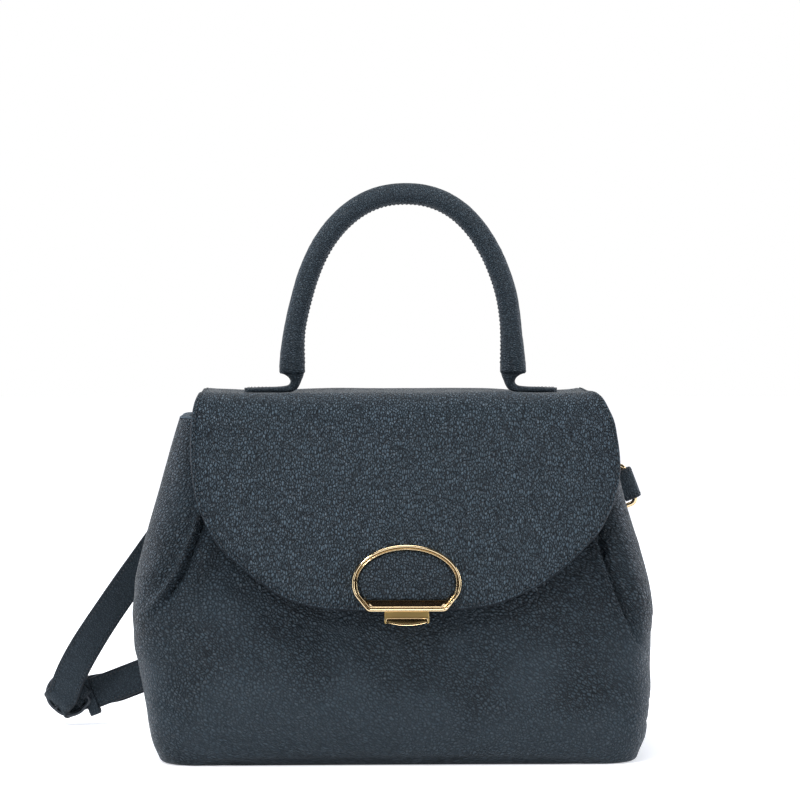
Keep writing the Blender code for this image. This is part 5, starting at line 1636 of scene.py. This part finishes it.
def make_keeper():
    """A leather band round both layers of the lower run."""
    along = (lower_run(KEEPER_PLACE + KEEPER_WIDTH) - lower_run(KEEPER_PLACE)).normalized()
    centre = lower_run(KEEPER_PLACE) + LOWER_ACROSS * SLIP / 2
    normal = (OUTWARD - along * OUTWARD.dot(along)).normalized()
    wrap = GAP + KEEPER_THICKNESS / 2
    low = -(STRAP_THICKNESS / 2 + wrap)
    high = BEHIND.length + STRAP_THICKNESS / 2 + wrap
    loop = arc_loop((low, high), STRAP_WIDTH / 2 + SLIP / 2 + wrap, (KEEPER_CORNER, KEEPER_CORNER), steps=8)
    centres = rows_of(centre + normal * out + LOWER_ACROSS * side for out, side in loop)
    across = np.tile(tuple(along), (len(centres), 1))
    shape, edges = band_section(KEEPER_WIDTH, KEEPER_THICKNESS, sewn=False)
    rings = laid(shape, centres, across, np.cross(directions(centres, closed=True), across))
    keeper = sweep("keeper_band", rings, [STRAP_HIDE, EDGE], closed_path=True, edge_columns=edges)
    ride(keeper, "root", "strap_leather", "strap_keeper")


def make_strap():
    upper = upper_run()
    make_upper_end(upper)
    make_long_strap(upper)
    make_short_strap()
    make_lower_end()
    make_buckle()
    make_keeper()


make_ring("left")
make_ring("right")
make_strap()

# Clasp

FRAME_BACK = 0.0104
BAR_LOW = -0.0036
CLASP_HALF = 0.0305
CLASP_HEIGHT = 0.0373
CLASP_BELLY = 0.0158
CLASP_FOOT_HALF = 0.02175
CLASP_SHOULDER = 0.0090
CLASP_ROUNDING = 5
# Section of the clasp's band: in from its outer edge and out from the flap
BAND_PROFILE = ((0.0, 0.0), (0.0, 0.0014), (0.00008, 0.0020), (0.0003, 0.0026), (0.0006, 0.00292),
                (0.0009, 0.0030), (0.0012, 0.00294), (0.0015, 0.0027), (0.00172, 0.0022), (0.0018, 0.0019),
                (0.00195, 0.00178), (0.0021, 0.0019), (0.0022, 0.0021), (0.0024, 0.0023), (0.0026, 0.00235),
                (0.0028, 0.0023), (0.00295, 0.0021), (0.0030, 0.0018), (0.0030, 0.0))
POCKET_IN = 0.0014
POCKET_HALF_WIDTH = 0.0129
POST_UP = 0.0082
POST_HALF = 0.0285
POST_RADIUS = 0.0014
PLATE_BACK = 0.0059
BAR_FROM = 0.0031
BAR_TO = 0.0061
BAR_ENDS = (0.0206, 0.0229)
BAR_FACE = 0.0017
BAR_BEVEL = 0.0005
BAR_PLACES = 24
MITRE_DEPTH = 0.0018
MITRE_TOP = 0.0026
INLAY_SHRINK = 0.0033
INLAY_FOOT = 0.0066
INLAY_CROWN = 0.0028
INLAY_EDGE = 0.0007
INLAY_MIDDLE = CLASP_BELLY + 0.002
INLAY_WAVE = 0.001
INLAY_WAVE_SCALE = 60.0


def lock_point(x, outward, up):
    """A place given across, out from the front panel and up its slope at the lock."""
    back = -half_depth(LOCK_Z) + up * math.sin(LOCK_LEAN) - outward * math.cos(LOCK_LEAN)
    rise = LOCK_Z + up * math.cos(LOCK_LEAN) + outward * math.sin(LOCK_LEAN)
    return np.stack(np.broadcast_arrays(x, back, rise), axis=-1)


def rounded_line(line, rounds):
    """A closed line with its corners eased, a little more with each round."""
    for _ in range(rounds):
        line = (np.roll(line, 1, axis=0) + 2 * line + np.roll(line, -1, axis=0)) / 4
    return line


def clasp_line(shrink, foot=None):
    """The clasp's outline moved in by an amount: an elliptic crown, straight shoulders and a level foot."""
    crown = CLASP_HEIGHT - CLASP_BELLY
    lower = math.asin((CLASP_BELLY - CLASP_SHOULDER) / crown)
    angle = np.linspace(-lower, math.pi + lower, 150)
    x = (CLASP_HALF - shrink) * np.cos(angle)
    arc = np.column_stack([x, CLASP_BELLY + (crown - shrink) * np.sin(angle)])
    rise = shrink if foot is None else foot
    slope = (arc[0, 0] - CLASP_FOOT_HALF) / CLASP_SHOULDER
    reach = CLASP_FOOT_HALF - shrink * 0.42 + max(rise - shrink, 0.0) * slope * 0.9
    corner = np.array((reach, rise))
    left = np.linspace(arc[-1], corner * (-1, 1), 16)[1:]
    base = np.linspace(corner * (-1, 1), corner, 62)[1:]
    right = np.linspace(corner, arc[0], 16)[1:-1]
    return rounded_line(np.vstack([arc, left, base, right]), CLASP_ROUNDING)


def fitting(name, outlines, finish, body, sharp=None):
    """A metal solid through outlines in the lock's frame, each with its place out from the panel."""
    rings = [lock_point(line[:, 0], outward, BAR_LOW + line[:, 1]) for line, outward in outlines]
    piece = sweep(name, rings, finish)
    if sharp:
        piece.data.set_sharp_from_angle(angle=math.radians(sharp))
    return ride(piece, body, "gold_metal")


def make_clasp_ring():
    """Polished ring, with a hollow behind its foot for the thumb tab."""
    lines = [clasp_line(shrink) for shrink, _ in BAND_PROFILE]
    rings = []
    for places in zip(*lines):
        ring = []
        for (x, up), (_, high) in zip(places, BAND_PROFILE):
            within = abs(x) < POCKET_HALF_WIDTH and places[0][1] < 0.001
            ring.append(lock_point(x, FRAME_BACK + max(high, POCKET_IN if within else 0.0), BAR_LOW + up))
        rings.append(ring)
    ring = sweep("clasp_ring", rings, GOLD, closed_path=True)
    ring.data.set_sharp_from_angle(angle=math.radians(65.0))
    ride(ring, "flap", "gold_metal", "clasp_frame")


def make_clasp_bar():
    """The plain bar across the ring's foot, its mitred ends and its polished upper edge."""
    across = np.linspace(-1.0, 1.0, BAR_PLACES)
    outlines = []
    for out, inset in ((0.0, 0.0), (BAR_FACE - BAR_BEVEL, 0.0), (BAR_FACE, BAR_BEVEL)):
        level = np.ones(BAR_PLACES)
        low = np.column_stack([across * (BAR_ENDS[0] - inset * 1.6), level * (BAR_FROM + inset * 0.4)])
        high = np.column_stack([-across * (BAR_ENDS[1] - inset * 2.2), level * (BAR_TO - inset)])
        outlines.append((np.vstack([low, high]), FRAME_BACK + out))
    fitting("clasp_bar", outlines, BAR_GOLD, "flap", sharp=18.0)
    facet = np.array([(BAR_ENDS[0] - 0.0018, BAR_FROM), (BAR_ENDS[0] - 0.0004, BAR_FROM),
                      (BAR_ENDS[1] + 0.0012, BAR_TO + 0.0022), (BAR_ENDS[1] - 0.0004, BAR_TO + 0.0014)])
    small = facet.mean(axis=0) + (facet - facet.mean(axis=0)) * 0.45
    for name, side in SIDES:
        outlines = [(line * (side, 1), FRAME_BACK + high)
                    for line, high in ((facet, 0.0), (facet, MITRE_DEPTH), (small, MITRE_TOP))]
        fitting("clasp_mitre_" + name, outlines, GOLD, "flap", sharp=18.0)
    half = BAR_ENDS[1]
    line = np.array([(0.0006 - half, BAR_TO - 0.0001), (half - 0.0006, BAR_TO - 0.0001),
                     (half - 0.0004, BAR_TO + 0.0004), (0.0004 - half, BAR_TO + 0.0004)])
    fitting("clasp_bar_edge", [(line, FRAME_BACK), (line, FRAME_BACK + 0.0019)], GOLD, "flap", sharp=30.0)


def make_clasp_posts():
    """Two round posts from the ring through the flap to its backplate."""
    angle = full_turn(20)
    circle = POST_RADIUS * np.column_stack([np.cos(angle), np.sin(angle)])
    for name, side in SIDES:
        line = circle + (side * POST_HALF, POST_UP - BAR_LOW)
        fitting("clasp_post_" + name, [(line, PLATE_BACK), (line, FRAME_BACK + 0.0010)], GOLD, "flap")


def make_inlay():
    """The padded leather inside the ring."""
    outline = clasp_line(INLAY_SHRINK, INLAY_FOOT)
    middle = np.array((0.0, INLAY_MIDDLE))
    wobble = np.array([noise.fractal(Vector((x * INLAY_WAVE_SCALE, z * INLAY_WAVE_SCALE, 2.0)), 1.0, 2.0, 2)
                       for x, z in outline])
    spreads = np.concatenate([[1.0, 1.0], np.cos(np.linspace(0.10, math.pi / 2, 26)) ** 0.72])
    rings = []
    grain = []
    for number, spread in enumerate(spreads):
        line = middle + (outline - middle) * max(spread, 0.01)
        rise = 0.0 if number == 0 else INLAY_EDGE + (INLAY_CROWN - INLAY_EDGE) * (1 - spread**4.5) ** 0.62
        rise = rise + wobble * INLAY_WAVE * (1 - spread) * spread
        rings.append(lock_point(line[:, 0], FRAME_BACK + rise, BAR_LOW + line[:, 1]))
        grain.append(np.vstack([line, line[:1]]))
    inlay = grid("inlay_pad", np.array(rings), np.array(grain), INLAY_HIDE, closed=True, caps=True)
    orient(inlay, Vector((0.0, -0.4, 0.1)))
    ride(inlay, "flap", "body_leather", "clasp_inlay")


SLIDER_HALF = 0.01225
SLIDER_FOOT = -0.0110
PLATE_THICKNESS = 0.0011
LENS_SINK = 0.0004
LENS_CURVE = 0.0019
LENS_HEIGHT = 0.0043
# Sections of the lens's rim and of the dish inside it, whose gold is darkened as a painted dark reflection:
# in from the outline and out from its back
RIM_PROFILE = ((0.0, 0.0), (0.0, 0.0022), (0.00012, 0.0027), (0.0003, 0.0030), (0.0005, 0.0029),
               (0.0007, 0.0024))
DISH_PROFILE = ((0.00072, 0.0022), (0.0009, 0.00245), (0.0014, 0.00255))
STEM_FOOT = -0.0104
STEM_HALF = 0.007
STEM_BACK = 0.0046
STEM_THICKNESS = 0.0010
TONGUE_HEIGHT = 0.0030
LIP_HALF = 0.006
LIP_REACH = 0.0026
LIP_LOW = 0.0003
LIP_HIGH = 0.0029
SPRING_ROOM = 0.0003
PLATE_CORNER = 0.0006
PLATE_BEVEL = 0.0002


def rounded_plate(half, low, high, radius, steps=6):
    """A rounded rectangle across and up, anticlockwise."""
    line = []
    for cx, cz, start in ((half - radius, low + radius, -90), (half - radius, high - radius, 0),
                          (radius - half, high - radius, 90), (radius - half, low + radius, 180)):
        for angle in np.radians(start + np.linspace(0, 90, steps)):
            line.append((cx + radius * math.cos(angle), cz + radius * math.sin(angle)))
    return np.array(line)


def plate(name, half, low, high, near, far):
    """One of the slider's plates, with rounded corners and eased edges."""
    full = rounded_plate(half, low - BAR_LOW, high - BAR_LOW, min(PLATE_CORNER, (high - low) / 2.2))
    small = inset_loop(full, PLATE_BEVEL)
    outlines = [(small, near), (full, near + PLATE_BEVEL), (full, far - PLATE_BEVEL), (small, far)]
    return fitting(name, outlines, SATIN_GOLD, "latch", sharp=35.0)


def make_slider():
    """Thumb tab under the clasp's bar, its tongue round the flap's edge and the lip above the catch."""
    face = plate("slider_plate", SLIDER_HALF, SLIDER_FOOT + 0.0012, BAR_LOW + 0.0002, FRAME_BACK,
                 FRAME_BACK + PLATE_THICKNESS)
    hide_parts("latch_slider")
    across = np.linspace(-1.0, 1.0, 40)
    low = np.column_stack([across * SLIDER_HALF, SLIDER_FOOT - LENS_SINK + LENS_CURVE * across**2])
    top = np.column_stack([across * SLIDER_HALF, SLIDER_FOOT + LENS_HEIGHT - 0.0001 * across**2])[::-1]
    line = rounded_line(np.vstack([low, top]), 3) - (0.0, BAR_LOW)
    lens = (("slider_rim", RIM_PROFILE, GOLD), ("slider_dish", DISH_PROFILE, DISH_GOLD_PAINTED_REFLECTION))
    for name, profile, finish in lens:
        outlines = [(inset_loop(line, inset), FRAME_BACK + GAP + out) for inset, out in profile]
        fitting(name, outlines, finish, "latch", sharp=60.0)
    stem_front = STEM_BACK + STEM_THICKNESS
    stem_back = STEM_BACK + SPRING_ROOM
    plate("slider_tongue", STEM_HALF, STEM_FOOT, STEM_FOOT + TONGUE_HEIGHT, stem_front, FRAME_BACK + 0.0002)
    plate("slider_stem", STEM_HALF, STEM_FOOT, LIP_HIGH - SPRING_ROOM, stem_back, stem_front)
    plate("slider_lip", LIP_HALF, LIP_LOW, LIP_HIGH - 2 * SPRING_ROOM, STEM_BACK - LIP_REACH,
          stem_back + 0.0001)


make_board()
make_lining()
make_facing()
make_pocket()
make_clasp_ring()
make_clasp_bar()
make_clasp_posts()
make_inlay()
make_slider()

# Camera, light and floor

def look_from(place, aim):
    """Where a camera or lamp stands, turned towards its aim."""
    turn = (Vector(aim) - Vector(place)).to_track_quat("-Z", "Y")
    return Matrix.Translation(place) @ turn.to_matrix().to_4x4()


def make_camera():
    data = bpy.data.cameras.new("camera")
    data.lens = LENS
    data.sensor_width = 36.0
    data.clip_end = 50.0
    camera = bpy.data.objects.new("camera", data)
    bpy.context.scene.collection.objects.link(camera)
    place = Vector((DISTANCE * math.sin(AZIMUTH), -DISTANCE * math.cos(AZIMUTH), CAMERA_HEIGHT))
    camera.matrix_world = look_from(place, AIM)
    bpy.context.scene.camera = camera


COOL = (0.93, 0.96, 1.0)
COLD = (0.78, 0.85, 1.0)
LIGHT_AIM = (0.0, 0.0, 0.12)
# Softboxes: place, width and height, power and colour
LIGHTS = {"top_softbox": ((-0.10, -0.15, 1.5), (0.9, 0.7), 16.5, (1.0, 1.0, 1.0)),
          "key_softbox": ((-0.85, -1.15, 1.45), (0.40, 0.40), 20.0, (0.97, 0.985, 1.0)),
          "left_softbox": ((-1.45, -0.55, 0.45), (0.5, 0.9), 7.0, COOL),
          "right_softbox": ((1.5, -0.45, 0.6), (0.5, 1.0), 13.0, COOL),
          "rim_left": ((-1.2, 0.9, 0.6), (0.5, 1.2), 6.5, COLD),
          "rim_right": ((1.2, 0.9, 0.6), (0.5, 1.2), 6.5, COLD)}


def make_light(name, place, size, power, colour):
    data = bpy.data.lights.new(name, "AREA")
    data.shape = "RECTANGLE"
    data.size, data.size_y = size
    data.energy = power
    data.color = colour
    light = bpy.data.objects.new(name, data)
    bpy.context.scene.collection.objects.link(light)
    light.matrix_world = look_from(place, LIGHT_AIM)


def seen_directly(shader):
    """1 for camera, glossy and transmission rays."""
    path = shader.node("ShaderNodeLightPath")
    direct = shader.maths("MAXIMUM", path["Is Camera Ray"], path["Is Glossy Ray"])
    return shader.maths("MAXIMUM", direct, path["Is Transmission Ray"])


FLOOR_HALF = 6.0
FLOOR_FADE = (0.30, 0.75)
FLOOR_GLOW = 0.55
FLOOR_DROP = 0.0002


def make_stage():
    """White floor that keeps a soft shadow."""
    mesh = bpy.data.meshes.new("floor")
    corners = [(x * FLOOR_HALF, y * FLOOR_HALF, 0) for x, y in ((-1, -1), (1, -1), (1, 1), (-1, 1))]
    mesh.from_pydata(corners, [], [(0, 1, 2, 3)])
    shader = Shader("floor")
    away = shader.node("ShaderNodeVectorMath", {0: shader.object_place()}, operation="LENGTH")["Value"]
    glow = shader.maths("MULTIPLY", seen_directly(shader), shader.span(away, *FLOOR_FADE, FLOOR_GLOW, 1.0))
    shader.set(Base_Color=(0.90, 0.905, 0.92, 1.0), Roughness=0.9, Specular_IOR_Level=0.1,
               Emission_Color=(0.95, 0.96, 1.0, 1.0), Emission_Strength=glow)
    floor = new_object("floor", mesh, shader.material)
    floor.location.z = -FLOOR_DROP


WORLD_LEVEL = 0.08
DARK_SIDE = 0.05
DARK_EDGES = (-0.15, 0.65)


def make_world():
    """White surround for the camera and for reflections, with a darker room on the front's side."""
    world = bpy.data.worlds.new("surround")
    bpy.context.scene.world = world
    world.use_nodes = True
    nodes = Nodes(world.node_tree)
    direction = nodes.node("ShaderNodeSeparateXYZ", {0: nodes.node("ShaderNodeTexCoord")["Generated"]})
    room = nodes.span(direction["Y"], *DARK_EDGES, DARK_SIDE, 1.0)
    path = nodes.node("ShaderNodeLightPath")
    mirrored = nodes.maths("MAXIMUM", path["Is Glossy Ray"], path["Is Transmission Ray"])
    reflected = nodes.node("ShaderNodeMix", {0: mirrored, 2: WORLD_LEVEL, 3: room}, data_type="FLOAT")[0]
    seen = path["Is Camera Ray"]
    level = nodes.node("ShaderNodeMix", {0: seen, 2: reflected, 3: 1.0}, data_type="FLOAT")[0]
    back = nodes.tree.nodes["Background"]
    nodes.join(level, back.inputs["Strength"])
    nodes.join((1.0, 1.0, 1.0, 1.0), back.inputs["Color"])


bpy.context.scene.view_settings.view_transform = "Standard"
make_camera()
make_stage()
make_world()
for light_name, light in LIGHTS.items():
    make_light(light_name, *light)

# Finishes of the solids that stay

STAYING = {"clasp_backplate": STEEL, "clasp_screw_left": GOLD, "clasp_screw_right": GOLD,
           "latch_spring": STEEL, "catch_plate": GOLD, "catch_washer_left": STEEL,
           "catch_washer_right": STEEL, "handle_core": CORE}
for node_name, finish in STAYING.items():
    slots = frame["nodes"][node_name].data.materials
    slots.clear()
    slots.append(finish)
